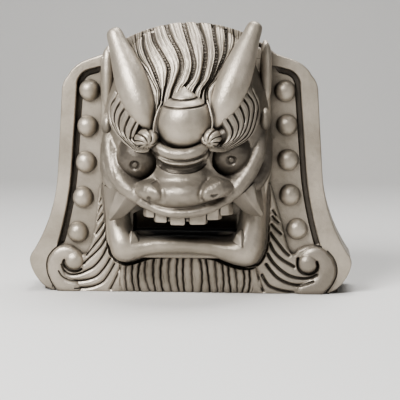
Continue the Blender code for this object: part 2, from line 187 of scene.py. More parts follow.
def ripple(x, z, seed):
    """A slow, hand-made unevenness from -1 to 1: four sines that run in different directions."""
    total = 0.0
    for k in range(4):
        angle = seed * 1.7 + k * 2.4
        run = x * math.cos(angle) + z * math.sin(angle)
        total = total + np.sin(run * (0.55 + 0.33 * k) + seed * 3.1 + k)
    return total / 4.0


def spline(stations, steps):
    """A curve through rows of numbers: between each two, the cubic that Catmull and Rom give."""
    s = np.asarray(stations, float)
    s = np.concatenate((2 * s[:1] - s[1:2], s, 2 * s[-1:] - s[-2:-1]))
    a, b, c, e = (s[i : len(s) - 3 + i, None] for i in range(4))
    t = np.linspace(0.0, 1.0, steps, endpoint=False)[:, None]
    bend = (2 * a - 5 * b + 4 * c - e) * t**2 + (3 * b - a - 3 * c + e) * t**3
    return np.concatenate(((b + ((c - a) * t + bend) / 2).reshape(-1, s.shape[1]), s[-2:-1]))


def even(curve, count):
    """The same curve with count points at equal steps of its length."""
    steps = np.linalg.norm(np.diff(curve, axis=0), axis=1)
    length = np.concatenate(([0.0], np.cumsum(steps)))
    at = np.linspace(0.0, length[-1], count)
    return np.stack([np.interp(at, length, column) for column in curve.T], axis=1)


def arc(cx, cz, radius, start, end, steps):
    """Points on a circle from one angle to another, in degrees."""
    angle = np.radians(np.linspace(start, end, steps + 1))
    return np.stack((cx + radius * np.cos(angle), cz + radius * np.sin(angle)), axis=1)


def stroke(stations, sides, steps=8, flat=1.0):
    """Rings round a curve through (x, z, d, radius): each ring is a circle square to the curve,
    pressed flat towards the front by the given share."""
    path = spline(stations, steps)
    middle, radius = path[:, None, :3], path[:, None, 3:]
    ahead = unit(np.gradient(path[:, :3], axis=0))
    aside = unit(np.cross(ahead, FORWARD))[:, None]
    out = np.cross(aside, ahead[:, None])
    angle = full_turn(sides)[..., None]
    return middle + radius * (np.cos(angle) * aside + flat * np.sin(angle) * out)


def offset(outline, inset):
    """A closed outline of (x, z) moved inwards by inset along its own normals."""
    ahead = unit(np.roll(outline, -1, axis=0) - np.roll(outline, 1, axis=0))
    inward = np.stack((-ahead[:, 1], ahead[:, 0]), axis=1)
    return outline + inset * inward


def rings(outline, profile):
    """A profile of (inset, depth) carried round an outline: one ring for each of its points."""
    made = []
    for inset, depth in profile:
        ring = offset(outline, inset)
        made.append(np.column_stack((ring, np.full(len(ring), depth))))
    return np.stack(made)


def normals_of(grid, heart):
    """The unit normals of a grid of points: its two slopes crossed, turned away from heart."""
    normal = unit(np.cross(np.gradient(grid, axis=0), np.gradient(grid, axis=1)))
    outward = np.sum(normal * (grid - heart)) > 0
    return normal if outward else -normal


# ---------------------------------------------------------------- closed shells and pieces


def grid_faces(rows, columns, around):
    """Quads of a grid of points kept row after row; around joins the last column to the first."""
    i = np.arange(rows - 1)[:, None] * columns
    j = np.arange(columns if around else columns - 1)[None, :]
    k = (j + 1) % columns
    return np.stack((i + j, i + k, i + columns + k, i + columns + j), axis=-1).reshape(-1, 4)


def fan(loop, middle):
    """Triangles from a closed loop of point numbers to one more point."""
    return np.stack((loop, np.roll(loop, -1), np.full(len(loop), middle)), axis=-1)


def ringed(grid, painted_shade=0.0, zipped=False):
    """A closed shell: rings of points one after another. Each end is closed at its own middle or,
    zipped, by strips between its first and second half, which suits a hollowed outline."""
    rows, columns = grid.shape[:2]
    first = np.arange(columns)
    last = (rows - 1) * columns + first
    painted_shade = np.broadcast_to(painted_shade, (rows, columns)).ravel()
    quads = grid_faces(rows, columns, True)
    points = grid.reshape(-1, 3)
    if zipped:
        caps = []
        for loop in (first[::-1], last):
            up, down = loop[: columns // 2], loop[::-1][: columns // 2]
            caps.append(np.stack((up[:-1], up[1:], down[1:], down[:-1]), axis=-1))
        return points, np.concatenate((quads, *caps)), fan(first[:0], 0), painted_shade
    points = np.concatenate((points, grid[[0, -1]].mean(axis=1)))
    ends = np.concatenate((fan(first[::-1], rows * columns), fan(last, rows * columns + 1)))
    return points, quads, ends, np.concatenate((painted_shade, painted_shade[[0, -1]]))


def domed(grid, heart, painted_shade=0.0):
    """A closed shell: an open grid of points, its border drawn in to a point behind it."""
    rows, columns = grid.shape[:2]
    number = np.arange(rows * columns).reshape(rows, columns)
    border = (number[0], number[1:, -1], number[-1, -2::-1], number[-2:0:-1, 0])
    points = np.concatenate((grid.reshape(-1, 3), np.asarray(heart, float)[None]))
    ends = fan(np.concatenate(border)[::-1], rows * columns)
    painted_shade = np.broadcast_to(painted_shade, (rows, columns)).ravel()
    return points, grid_faces(rows, columns, False), ends, np.append(painted_shade, 0.0)


def mesh_of(name, shells):
    """One mesh from closed shells, each turned to face outwards."""
    points, quads, ends, painted_shade, start = [], [], [], [], 0
    for shell_points, shell_quads, shell_ends, shell_shade in shells:
        points.append(shell_points)
        quads.append(shell_quads + start)
        ends.append(shell_ends + start)
        painted_shade.append(shell_shade)
        start += len(shell_points)
    points, quads, ends, painted_shade = (np.concatenate(part) for part in (points, quads, ends, painted_shade))
    corners = np.concatenate((quads.ravel(), ends.ravel()))
    first = np.concatenate((np.arange(len(quads)) * 4, len(quads) * 4 + np.arange(len(ends)) * 3))
    mesh = bpy.data.meshes.new(name)
    mesh.vertices.add(len(points))
    mesh.vertices.foreach_set("co", place(points).ravel())
    mesh.loops.add(len(corners))
    mesh.loops.foreach_set("vertex_index", corners)
    mesh.polygons.add(len(first))
    mesh.polygons.foreach_set("loop_start", first)
    mesh.update(calc_edges=True)
    # each point's painted shade, kept as an attribute that darkens its colour
    mesh.attributes.new("painted_shade", "FLOAT", "POINT").data.foreach_set("value", painted_shade)
    bm = bmesh.new()
    bm.from_mesh(mesh)
    bmesh.ops.recalc_face_normals(bm, faces=bm.faces)
    bm.to_mesh(mesh)
    bm.free()
    return mesh


def cut_away(piece, cutters):
    """The piece with every cutter's volume taken out of it; each cutter is a list of shells."""
    helpers = bpy.data.collections.new(piece.name + "_cutters")
    for shells in cutters:
        helpers.objects.link(bpy.data.objects.new("cutter", mesh_of("cutter", shells)))
    step = piece.modifiers.new("cut", "BOOLEAN")
    step.operation = "DIFFERENCE"
    step.solver = "MANIFOLD"
    step.operand_type = "COLLECTION"
    step.collection = helpers
    bpy.context.scene.collection.children.link(helpers)
    graph = bpy.context.evaluated_depsgraph_get()
    whole = piece.data
    piece.data = bpy.data.meshes.new_from_object(piece.evaluated_get(graph))
    piece.modifiers.clear()
    bpy.data.meshes.remove(whole)
    for helper in list(helpers.objects):
        mesh = helper.data
        bpy.data.objects.remove(helper)
        bpy.data.meshes.remove(mesh)
    bpy.data.collections.remove(helpers)


def add_piece(name, shells, cutters=(), crisp=None):
    """A finished piece of the tile: its shells, what is cut from it, and its clay."""
    piece = bpy.data.objects.new(name, mesh_of(name, shells))
    bpy.context.scene.collection.objects.link(piece)
    if cutters:
        cut_away(piece, cutters)
    piece.data.name = name
    piece.data.shade_smooth()
    if crisp:
        piece.data.set_sharp_from_angle(angle=math.radians(crisp))
    piece.data.materials.clear()
    piece.data.materials.append(smoked_clay())
    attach(piece, "root")
    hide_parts(NODE)
    return piece


# ---------------------------------------------------------------- the hollow behind

CUT_SHADE = 0.9  # the painted shade on what is cut open: the inside of the hollow and the mouth


def both_sides(half, shift=0.0):
    """A closed outline from its right half, which runs upwards and ends on the middle."""
    half = np.asarray(half, float)
    half = half[half[:, 0] > 1e-6]
    left = half[::-1] * (-1.0, 1.0)
    return np.concatenate((half, left)) + (shift, 0.0)


def prism(outline, back, front):
    """A closed outline carried straight from one depth to another."""
    return [ringed(rings(outline, ((0.0, back), (0.0, front))), CUT_SHADE)]


def dome(wall):
    """The rounded hollow inside the head: the head's own round form, smaller by one wall."""
    turn, swing = np.linspace(0.04, math.pi - 0.04, 40)[:, None], full_turn(72)
    across = np.sin(turn) * np.cos(swing)
    x = np.sign(across) * np.abs(across) ** (2 / HEAD_SQUARE) * (HEAD_HALF - wall)
    up = np.sin(turn) * np.sin(swing)
    z = HEAD_Z + up * (np.where(up > 0, HEAD_UP, HEAD_DOWN) - wall)
    d = np.maximum(np.cos(turn) * (HEAD_DEPTH - wall), -BACK + WALL + 5.0)
    return [ringed(on_head(grid_of(x, z, d)), CUT_SHADE)]


def hollow():
    """What is taken out behind: the pocket, the way in, the dome inside the head, and the mouth."""
    shoulder_x = outer_half(SHOULDER_Z) - SHOULDER_R
    sides = np.array((34.0, 46.0, 64.0, 92.0))
    crown_x = np.linspace(CROWN_HALF - 6.0, 0.0, 9)
    pocket = np.concatenate((
        ((96.0, WALL), (106.0, 22.0)),
        np.column_stack((outer_half(sides) - WALL, sides)),
        arc(shoulder_x, SHOULDER_Z, SHOULDER_R - WALL, 0, 68, 8),
        np.column_stack((crown_x, crown_z(crown_x) - WALL)),
    ))  # fmt: skip
    low = np.array((SILL, 92.0))
    crown_x = np.linspace(CROWN_HALF - 10.0, 0.0, 9)
    way_in = np.concatenate((
        np.column_stack((outer_half(low) - 2 * WALL, low)),
        arc(shoulder_x - WALL, SHOULDER_Z - 8.0, SHOULDER_R - WALL, 0, 68, 8),
        np.column_stack((crown_x, crown_z(crown_x) - 2 * WALL)),
    ))  # fmt: skip
    pocket_front = -FIELD - WALL
    mouth = np.array(((-41, 47), (36, 47), (36, 60), (27, 65), (-31, 65), (-41, 60)), float)
    return [
        prism(both_sides(pocket), WALL - BACK, pocket_front),
        prism(both_sides(way_in), -BACK - 2.0, pocket_front + 3.0),
        dome(WALL),
        prism(mouth, pocket_front - 4.0, 34.0),
    ]


# ---------------------------------------------------------------- plate, studs and block

STUDS = (  # x and z of each, the left five and the right five
    (-74.8, 150.9), (-76.5, 124.1), (-77.9, 97.1), (-80.4, 70.7), (-84.5, 44.1),
    (70.7, 150.5), (72.4, 125.4), (73.3, 99.5), (74.9, 73.4), (80.3, 48.0),
)  # fmt: skip


def plate_outline():
    """The plate's edge: foot, flared side, shoulder, neck and crown, then the same on the left."""
    z = np.linspace(27.0, 146.0, 24)
    shoulder_x = float(outer_half(SHOULDER_Z)) - SHOULDER_R
    x = np.linspace(CROWN_HALF, 0.0, 12)
    right = np.concatenate((
        FOOT,
        np.column_stack((outer_half(z), z)),
        arc(shoulder_x, SHOULDER_Z, SHOULDER_R, 4, 44, 5),
        NECK,
        np.column_stack((x, crown_z(x))),
    ))  # fmt: skip
    right = even(spline(right, 12), 300)
    right[-1, 0] = 0.0
    return both_sides(right)


def field_cutter(side, sizes):
    """A sunk field: its floor, and along the rim a deeper channel under a steep, soft-lipped wall.
    The profile's insets and depths fade to a plain wall on the side that the carving covers."""
    low, top, corner, under_head, count = 33.0, 169.4, 13.0, 50.0, 240
    z = np.linspace(low, 152.0, 30)
    rim = np.concatenate((
        np.column_stack((inner_half(z), z)),
        arc(float(inner_half(SHOULDER_Z)) - corner, 154.0, corner, 12, 80, 8),
        ((62.0, top),),
    ))  # fmt: skip
    inside = np.column_stack((np.full(count, under_head), np.linspace(top, low, count)))
    outline = np.concatenate((even(rim, count), inside))
    number = np.arange(2 * count)
    on_rim = ease(number, 0.0, 8.0) * (1.0 - ease(number, count - 12.0, count - 1.0))
    floor, channel = -sizes.field_depth / MM, -sizes.channel_depth / MM
    # the channel under the rim's wall carries painted shade, darkest at its floor and fading onto the field
    profile = (  # inset, depth, painted shade
        (4.9, floor, 0.2), (4.4, floor, 0.25), (4.2, floor - 0.2, 0.5), (4.0, channel + 0.5, 0.9),
        (3.6, channel, 1.0), (0.9, channel, 1.0), (0.4, channel + 0.4, 1.0), (0.2, -3.0, 0.8),
        (0.0, -1.0, 0.3), (-0.2, -0.45, 0.0), (-0.7, -0.05, 0.0), (-1.2, 0.4, 0.0), (-1.2, 3.0, 0.0),
    )  # fmt: skip
    inward = offset(outline, 1.0) - outline
    shell = []
    for inset, depth, _ in profile:
        sunk = min(depth - floor, 0.0) * on_rim + max(depth, floor)
        shell.append(np.column_stack((outline + inward * (inset * on_rim)[:, None], sunk)))
    shell = np.stack(shell)
    shell[..., 0] = side * shell[..., 0] - 0.8
    return [ringed(shell, np.array(profile)[:, 2:] * on_rim, zipped=True)]


def foot_groove(side):
    """The line cut round a volute where it meets the rim's foot: a thin tube along its contour."""
    contour = np.array(FEET[side]["contour"], float)
    stations = np.column_stack((contour, np.full(len(contour), 0.1), np.full(len(contour), 0.9)))
    # the tube leaves painted shade in the groove that it cuts
    return [ringed(stroke(stations, 12), 0.8)]


def stud(x, z, radius, seed):
    """A pressed ball: a dome whose height follows a sine and whose width follows a cosine."""
    lift = np.radians(np.concatenate(((-28.0, -10.0), np.linspace(0.0, 86.0, 18))))[:, None]
    turn = full_turn(56)
    reach = radius * np.cos(lift) * (1.0 + 0.012 * np.sin(3 * turn + seed))
    d = 0.93 * radius * np.sin(lift) - FIELD - 0.1
    return ringed(grid_of(x + reach * np.cos(turn), z + reach * np.sin(turn), d))


def block_outline():
    """The jaw's rounded end, its sides, and the crown's arch a little inside the plate's."""
    low = arc(JAW_HALF - JAW_CORNER, JAW_LOW_Z + JAW_CORNER, JAW_CORNER, -90, 0, 14)
    x = np.linspace(CROWN_HALF, 0.0, 12)
    crown = np.column_stack((x, crown_z(x) - 2.5))
    half = np.concatenate((low, ((JAW_HALF, 72.0), (HEAD_HALF, 88.0), (HEAD_HALF, 175.5)), crown))
    return both_sides(even(half, 260), JAW_SHIFT)


def build_plate():
    """The plate is its outline carried from back to front, its edges rounded by quarter circles;
    the block that the head sits on is made the same way."""
    sizes = bpy.context.scene.onigawara_sizes
    edge = sizes.edge_round / MM
    corner = np.radians((0, 22, 45, 68, 90))
    front = [(edge * (1 - math.cos(a)), edge * (math.sin(a) - 1)) for a in corner]
    back = [(inset, -BACK - depth) for inset, depth in reversed(front)]
    sides = [(0.0, depth) for depth in np.linspace(-BACK + edge + 3.0, -edge - 3.0, 10)]
    shell = rings(plate_outline(), [(5.0, -BACK)] + back + sides + front + [(5.0, 0.0)])
    cutters = [field_cutter(side, sizes) for side in (-1, 1)] + [foot_groove(side) for side in (-1, 1)]
    under_jaw = np.array(((99.0, 1.0), (99.0, 36.0), (-99.0, 36.0), (-99.0, 1.0)))
    cutters.append(prism(under_jaw, -sizes.field_depth / MM, 3.0))
    add_piece("plate", [ringed(shell, zipped=True)], cutters + hollow(), crisp=32.0)
    radius = sizes.stud_radius / MM
    add_piece("studs", [stud(x, z, radius, i) for i, (x, z) in enumerate(STUDS)])
    profile = ((2.6, -9.0), (0.0, -9.0), (0.0, 5.4), (0.3, 6.7), (1.0, 7.6), (2.0, 8.0), (2.6, 8.0))
    block = ringed(rings(block_outline(), profile), zipped=True)
    add_piece("head_block", [block], hollow(), crisp=32.0)


# ---------------------------------------------------------------- the face

HEART = np.array((0.0, 100.0, -6.0))  # every ray of the face leaves from here
FACE_GRID = (306, 320)  # rays from the chin over the top, and from side to side

FACE_FORMS = (  # centre, radii, blend, and 1 to add or -1 to hollow
    ((-1, 81, 24), (42, 18, 27), 6.0, 1),
    ((-2, 92, 38), (18.5, 14, 13), 3.0, 1),
    ((-34, 104.5, 34), (17.4, 17.6, 12), 1.0, -1),
    ((32.7, 104.8, 34), (16.4, 16.6, 12), 1.0, -1),
    ((-2.5, 78.7, 42), (24.5, 11, 17), 4.0, 1),
    ((-33.5, 106, 27), (16.4, 17.2, 18), 0.5, 1),
    ((32.3, 106, 27), (15.4, 16.2, 18), 0.5, 1),
)
FACE_ROLLS = (  # stations (x, z, d, radius) and blend
    (((-57, 128, 13, 4), (-56, 118, 20, 5.5), (-55, 110.5, 24, 6), (-53.3, 103, 27, 6.3),
      (-50.6, 95.5, 30, 6.5), (-46.8, 88.5, 32.5, 6.6), (-41.5, 82.5, 35, 6.3), (-35, 77.5, 38, 5)), 1.8),
    (((56, 127, 13, 4), (53.5, 116, 20, 5.5), (52.5, 107, 25, 6), (50, 99.5, 28, 6.3),
      (46.3, 92.8, 31, 6.5), (41.8, 86.3, 33.5, 6.6), (37, 80.5, 36, 6.3), (31.5, 76, 38.5, 5)), 1.8),
    (((-59, 112, 8, 5), (-57, 95, 15, 6.5), (-50.5, 85, 22, 7), (-40, 77, 29, 6)), 2.5),
    (((59, 112, 8, 5), (56.5, 94, 15, 6.5), (49.5, 83, 22, 7), (39, 76, 29, 6)), 2.5),
    (((-26, 117, 40, 6), (-43, 129, 29, 9), (-52, 145, 11, 6)), 3.0),
    (((25, 117, 40, 6), (43, 129, 29, 9), (52, 145, 11, 6)), 3.0),
    (((-22.5, 117, 44, 3.6), (-17.8, 111.8, 49.3, 4.2), (-13, 109.2, 52, 4.5), (-8, 107.5, 53.3, 4.6),
      (-2.5, 106.9, 53.7, 4.6), (3, 107.2, 53.4, 4.6), (8, 108.4, 52.4, 4.5), (12.5, 110.8, 49.9, 4.2),
      (17.5, 116, 44.5, 3.6)), 0.4),
    (((-19, 109, 41, 3.5), (-14.5, 105.5, 46.5, 5.2), (-9.5, 103.6, 49.3, 5.8), (-2.5, 102.6, 50.4, 6),
      (3, 102.8, 50, 5.9), (8.8, 104, 48.6, 5.6), (12.5, 105.8, 46.2, 5), (16, 109.5, 41.5, 3.5)), 0.7),
    (((-30.2, 82.4, 42, 5.4), (-24.8, 81.6, 49, 6.7), (-19, 80, 52.6, 5.4)), 0.8),
    (((29.2, 81.8, 42, 5.4), (23.6, 81.8, 49, 6.7), (16.4, 79.2, 53, 5.4)), 0.8),
    (((-37, 76, 33, 3), (-32, 73.2, 38, 3), (-25, 70.6, 43.3, 3.2), (-15, 66.8, 48.3, 3.2),
      (-2, 65, 50.3, 3.3), (14, 66.6, 48.3, 3.2), (25, 70.6, 43.3, 3.2), (32.5, 74.2, 37.5, 3),
      (37, 77, 33, 3)), 2.0),
)  # fmt: skip
LEDGE = ((-21, 107.8), (-19.4, 106.3), (-15.1, 103.4), (-9.5, 101.2), (-2.5, 100.4), (3.1, 100.5),
         (8.8, 101.7), (13, 103.6), (15.4, 106), (17, 107.8))  # fmt: skip
CRESTS = {  # how far out each cheek's crest lies, at heights from the mouth up
    -1: ((34, 70), (41.2, 84.2), (46.3, 89.4), (49.5, 96), (52, 103.3), (53.8, 110.6),
         (54.8, 118), (47, 150)),
    1: ((31, 70), (36.1, 81.3), (40.4, 87), (44.6, 93.3), (48.2, 99), (50.3, 106), (50, 118), (42, 150)),
}  # fmt: skip
CREST_SHADE = {-1: 0.45, 1: 0.8}  # the painted shade beyond each crest, where the head's side turns from the light
EYES = ((-33.5, 106, 16.4, 17.2), (32.3, 106, 15.4, 16.2))
PUPILS = ((-35.7, 99.5), (33.5, 101.1))
NOSTRILS = ((-25.0, 76.2, 1.9, 2.3), (21.8, 77.3, 3.2, 1.3))


def egg_gap(points):
    """About how far points are outside the plain head, along the line to its middle."""
    x, z, d = np.moveaxis(points, -1, 0)
    rise = np.where(z > HEAD_Z, HEAD_UP, HEAD_DOWN)
    size = np.sqrt(np.abs(x / HEAD_HALF) ** HEAD_SQUARE + ((z - HEAD_Z) / rise) ** 2 + (d / HEAD_DEPTH) ** 2)
    reach = np.sqrt(x**2 + (z - HEAD_Z) ** 2 + d**2)
    return reach * (1.0 - 1.0 / np.maximum(size, 1e-6))


def ball_gap(points, centre, radii):
    """About how far points are outside an ellipsoid: its level over the slope of that level."""
    away = points - centre
    level = np.linalg.norm(away / radii, axis=-1)
    slope = np.linalg.norm(away / np.square(radii), axis=-1)
    return level * (level - 1.0) / np.maximum(slope, 1e-9)


def roll_gap(points, path):
    """How far points are outside a stroke: the least over its straight steps of the distance to
    the step less its radius there."""
    gap = np.full(len(points), 1e9)
    for start, end in zip(path, path[1:]):
        run = end[:3] - start[:3]
        share = np.clip((points - start[:3]) @ run / (run @ run), 0.0, 1.0)
        away = np.linalg.norm(points - start[:3] - share[:, None] * run, axis=1)
        gap = np.minimum(gap, away - start[3] - share * (end[3] - start[3]))
    return gap


def face_lumps():
    """Every form that is blended into the head: its gap's function, and a ball that holds it."""
    lumps = []
    for centre, radii, blend, sign in FACE_FORMS:
        middle, size = np.array(centre, float), np.array(radii, float)
        lumps.append((ball_gap, (middle, size), blend, sign, middle, size.max()))
    for stations, blend in FACE_ROLLS:
        path = spline(stations, 4)
        middle = (path[:, :3].min(axis=0) + path[:, :3].max(axis=0)) / 2
        size = np.linalg.norm(path[:, :3] - middle, axis=1).max() + path[:, 3].max()
        lumps.append((roll_gap, (path,), blend, 1, middle, size))
    return lumps


def face_skin(rows, columns):
    """The face as one reach for each direction: rays from the heart, each walked in from outside
    until the blended gap to all the forms is nothing. Rays lie closest over the front, and far
    round the sides the reach is averaged with its neighbours."""
    turn = np.interp(np.linspace(0.0, 1.0, rows), (0.0, 0.17, 0.83, 1.0), (-100.0, -42.0, 22.0, 86.0))
    swing = np.linspace(-1.0, 1.0, columns)
    swing = np.interp(swing, (-1.0, -0.78, 0.78, 1.0), (-85.0, -62.0, 62.0, 85.0))
    turn, swing = np.radians(turn)[:, None], np.radians(swing)[None]
    rays = grid_of(np.sin(swing), np.cos(swing) * np.sin(turn), np.cos(swing) * np.cos(turn)).reshape(-1, 3)
    lumps = []
    for gap_of, form, blend, sign, middle, size in face_lumps():
        away = middle - HEART
        passing = np.linalg.norm(away - (rays @ away)[:, None] * rays, axis=1)
        lumps.append((gap_of, form, blend, sign, np.flatnonzero(passing < size + blend)))
    reach = np.full(len(rays), 105.0)
    for _ in range(34):
        points = HEART + reach[:, None] * rays
        gap = egg_gap(points)
        for gap_of, form, blend, sign, near in lumps:
            gap[near] = sign * soft_min(sign * gap[near], gap_of(points[near], *form), blend)
        reach -= 0.85 * gap
    reach, share = reach.reshape(rows, columns), ease(np.abs(swing), 0.92, 1.06)
    for _ in range(10):
        soft = sum(np.roll(reach, step, axis) for axis in (0, 1) for step in (1, -1)) / 4
        reach[1:-1, 1:-1] += (share * (soft - reach))[1:-1, 1:-1]
    return HEART + reach[..., None] * rays.reshape(rows, columns, 3)


def line_gap(x, z, line, steps=4):
    """How far each place is from a line through (x, z) stations, as seen from the front."""
    gap = np.full(x.shape, 1e9)
    path = spline(line, steps)
    for (ax, az), (bx, bz) in zip(path, path[1:]):
        run = (bx - ax) ** 2 + (bz - az) ** 2
        share = np.clip(((x - ax) * (bx - ax) + (z - az) * (bz - az)) / run, 0.0, 1.0)
        gap = np.minimum(gap, np.hypot(x - ax - share * (bx - ax), z - az - share * (bz - az)))
    return gap


FACE_CUTS = (  # width, depth, and the line from the front
    (0.6, 0.4, ((-53.2, 118), (-53.4, 110.6), (-53.1, 103.4), (-52.3, 96), (-50.6, 90))),
    (1.6, 1.1, ((-20.5, 88.5), (-17.2, 84.5), (-14.6, 79), (-14.8, 75))),
    (1.6, 1.1, ((16.8, 88.5), (13.6, 84.5), (11.4, 79), (12.2, 75))),
)


def carve_face(skin):
    """The finer cuts, each pressed in along the skin's normal: the ledge over the nose, the
    pupils, the nostrils and the wrinkles. Above the brows the skin sinks under the hair."""
    x, z = skin[..., 0], skin[..., 1]
    front = ease(skin[..., 2], 8.0, 20.0)
    within = np.minimum(x - np.interp(z, HAIR_Z, HAIR_CUTS[0]), np.interp(z, HAIR_Z, HAIR_CUTS[-1]) - x)
    sunk, painted_shade = 5.0 * ease(z, 131.0, 137.0) * ease(within, 0.0, 3.0), 0.0 * x
    # painted shade in the wrinkles' cuts
    for width, depth, line in FACE_CUTS:
        gap = line_gap(x, z, np.array(line, float))
        sunk = sunk + front * depth * np.exp(-((gap / width) ** 2))
        painted_shade = np.maximum(painted_shade, 0.45 * front * np.exp(-((gap / width) ** 2)))
    line = spline(LEDGE, 8)
    over = z - np.interp(x, line[:, 0], line[:, 1])
    on_ledge = (1.0 - ease(np.abs(x + 2.0), 15.5, 19.0)) * (skin[..., 2] > 40.0)
    groove = np.exp(-(((over - 2.3) / 0.75) ** 2))
    lip = ease(over, -0.4, -0.05) * (1.0 - ease(over, 0.6, 1.2))
    under = ease(over, -7.4, -6.8) * (1.0 - ease(over, -0.75, -0.4))
    sunk = sunk + on_ledge * (1.5 * groove - 1.0 * lip + 1.5 * under)
    # painted shade in the groove over the ledge and on the ledge's underside
    painted_shade = np.maximum(painted_shade, on_ledge * np.maximum(0.85 * groove, under))
    # painted shade over the eyeballs, which lie under the brows
    for cx, cz, wide, high in EYES:
        ball = 1.0 - ease(np.hypot((x - cx) / wide, (z - cz) / high), 0.93, 1.04)
        painted_shade = np.maximum(painted_shade, 0.95 * front * ball)
    # painted shade in the pupils' rings and, below, in the nostrils
    for px, pz in PUPILS:
        gap = np.hypot(x - px, (z - pz) * 1.1)
        ring = np.exp(-(((gap - 3.1) / 0.75) ** 2))
        sunk = sunk + front * (1.0 * (1.0 - ease(gap, 3.3, 4.2)) + 1.5 * ring)
        painted_shade = np.maximum(painted_shade, front * ring)
    for px, pz, wide, high in NOSTRILS:
        gap = np.hypot((x - px) / wide, (z - pz - 0.35 * abs(x - px)) / high)
        sunk = sunk + front * 1.5 * (1.0 - ease(gap, 0.3, 1.2))
        painted_shade = np.maximum(painted_shade, 0.9 * front * (1.0 - ease(gap, 0.6, 1.15)))
    # painted shade on the head's sides beyond the cheeks' crests, deeper on the right
    for side, share in CREST_SHADE.items():
        crest = np.array(CRESTS[side])
        beyond = side * x - np.interp(z, crest[:, 1], crest[:, 0])
        painted_shade = np.maximum(painted_shade, share * ease(beyond, 3.5, 8.0))
    # painted shade over the whole face, a little more on the right, away from the light
    painted_shade = np.maximum(painted_shade, 0.42 + 0.1 * ease(x, 10.0, 45.0))
    sunk = sunk + 0.14 * ripple(x, z, 2.0) * front
    return skin - sunk[..., None] * normals_of(skin, HEART), painted_shade


def build_face():
    skin, painted_shade = carve_face(face_skin(*FACE_GRID))
    add_piece("face", [domed(on_head(skin), on_head(HEART), painted_shade)], hollow())


# ---------------------------------------------------------------- brows, curls and ears

BROWS = {  # the cuts between the locks of each brow, from the outermost in, from the horn down
    -1: (((-52, 150), (-55.8, 141), (-54.2, 130.6), (-48.9, 121.8), (-38.8, 112.2)),
         ((-49.1, 147.5), (-51.8, 141.5), (-51, 133), (-46.7, 124), (-38, 114.4)),
         ((-45.3, 144.4), (-47.9, 138.8), (-48.3, 131.7), (-44.8, 123.7), (-37.6, 115.2)),
         ((-42.2, 139.5), (-44.6, 134.4), (-44.8, 128.1), (-42.7, 122.3), (-37.2, 115.9)),
         ((-37.7, 134.9), (-40, 129), (-40.7, 124.5), (-39.8, 121), (-36.8, 116.6)),
         ((-34.3, 128.5), (-35.9, 125), (-36.4, 121.9), (-36.5, 119.9), (-36.2, 117.4)),
         ((-32.1, 125.9), (-32.8, 123.6), (-33.5, 121.9), (-34.2, 120.2), (-35, 118.2))),
    1: (((50.6, 147.4), (52.6, 140.3), (51.2, 126.1), (45, 115.6), (32.2, 108.9)),
        ((47.7, 149), (50.6, 138.9), (48.3, 125.4), (42.6, 116), (31.2, 109.6)),
        ((43.7, 147.8), (47.7, 140), (46, 128.4), (41.3, 117.6), (30.2, 110.2)),
        ((39.5, 145.9), (43.4, 138.9), (43.3, 129.9), (39.4, 119.6), (29.2, 110.7)),
        ((37.4, 141.1), (40.2, 133.9), (40.4, 127), (36.8, 118.2), (28, 111.1)),
        ((33.6, 135.2), (36, 129.9), (36.8, 124.9), (34.2, 117.6), (26.8, 111.5)),
        ((30.4, 129.7), (32.7, 124.8), (33, 120.4), (30.8, 115.4), (25.4, 111.8)),
        ((27.3, 125.2), (29.3, 121.2), (29.4, 117.7), (27.4, 114.4), (23.8, 112.2))),
}  # fmt: skip
BROW_WIDTHS = (0.5, 0.6, 0.8, 0.95, 1.0, 1.0, 0.9, 0.6)
CURL_FOOT = {-1: ((-32.0, 108.8), (-25.5, 109.2)), 1: ((26.5, 107.4), (18.5, 108.6))}
BROW_DEPTHS = ((16, 49.5), (24, 48), (33, 44), (41, 39), (50, 32), (57, 22), (61, 15))
CURLS = {-1: ((-26.4, 118.6, 47.5), (8.7, 6.9, 9.0)), 1: ((18.8, 117.9, 48.0), (7.4, 6.8, 8.6))}
KNOB = (57.0, 128.6, 16.0), (5.2, 8.8, 10.0)
TUFT = ((57.6, 185, 3, 1.4), (58, 180, 5, 3.6), (58.2, 171, 6, 4.4), (58.2, 158, 7, 4.6), (58, 146, 7, 4.0),
        (57.5, 140, 4, 2))  # fmt: skip
HORN_LINES = {  # the thin raised line where each horn meets the jewel
    -1: ((-15.6, 144.5, 47.6, 0.4), (-19, 136.5, 50.9, 0.7), (-21, 128.5, 52.2, 0.7),
         (-21.5, 122.5, 52, 0.5)),
    1: ((16.4, 144.5, 47.6, 0.4), (18.8, 136.5, 50.9, 0.7), (20.2, 129.5, 52.2, 0.7), (19.4, 123.5, 52, 0.5)),
}  # fmt: skip


def combed(cuts, widths, per_lock, rows, base):
    """Locks between cuts: across them, straight steps from one cut to the next; along them, the
    cuts' own curves. With the sheet it gives each place's share of its lock, the lock's width,
    and the gap to the nearer cut over the width of that cut."""
    lines = np.stack([even(spline(line, 10), rows) for line in cuts], axis=1)
    u = np.linspace(0.0, len(cuts) - 1.0, (len(cuts) - 1) * per_lock + 1)
    cell = np.minimum(u.astype(int), len(cuts) - 2)
    share = (u - cell)[None, :, None]
    flat = lines[:, cell] * (1 - share) + lines[:, cell + 1] * share
    wide = np.linalg.norm(lines[:, cell + 1] - lines[:, cell], axis=-1)
    share = share[..., 0]
    widths = np.array(widths)
    room = 0.26 * wide
    left = share * wide / np.minimum(widths[cell][None], room)
    right = (1 - share) * wide / np.minimum(widths[cell + 1][None], room)
    sheet = np.concatenate((flat, base(flat[..., 0])[..., None]), axis=-1)
    return sheet, share + 0.0 * wide, wide, np.minimum(left, right)


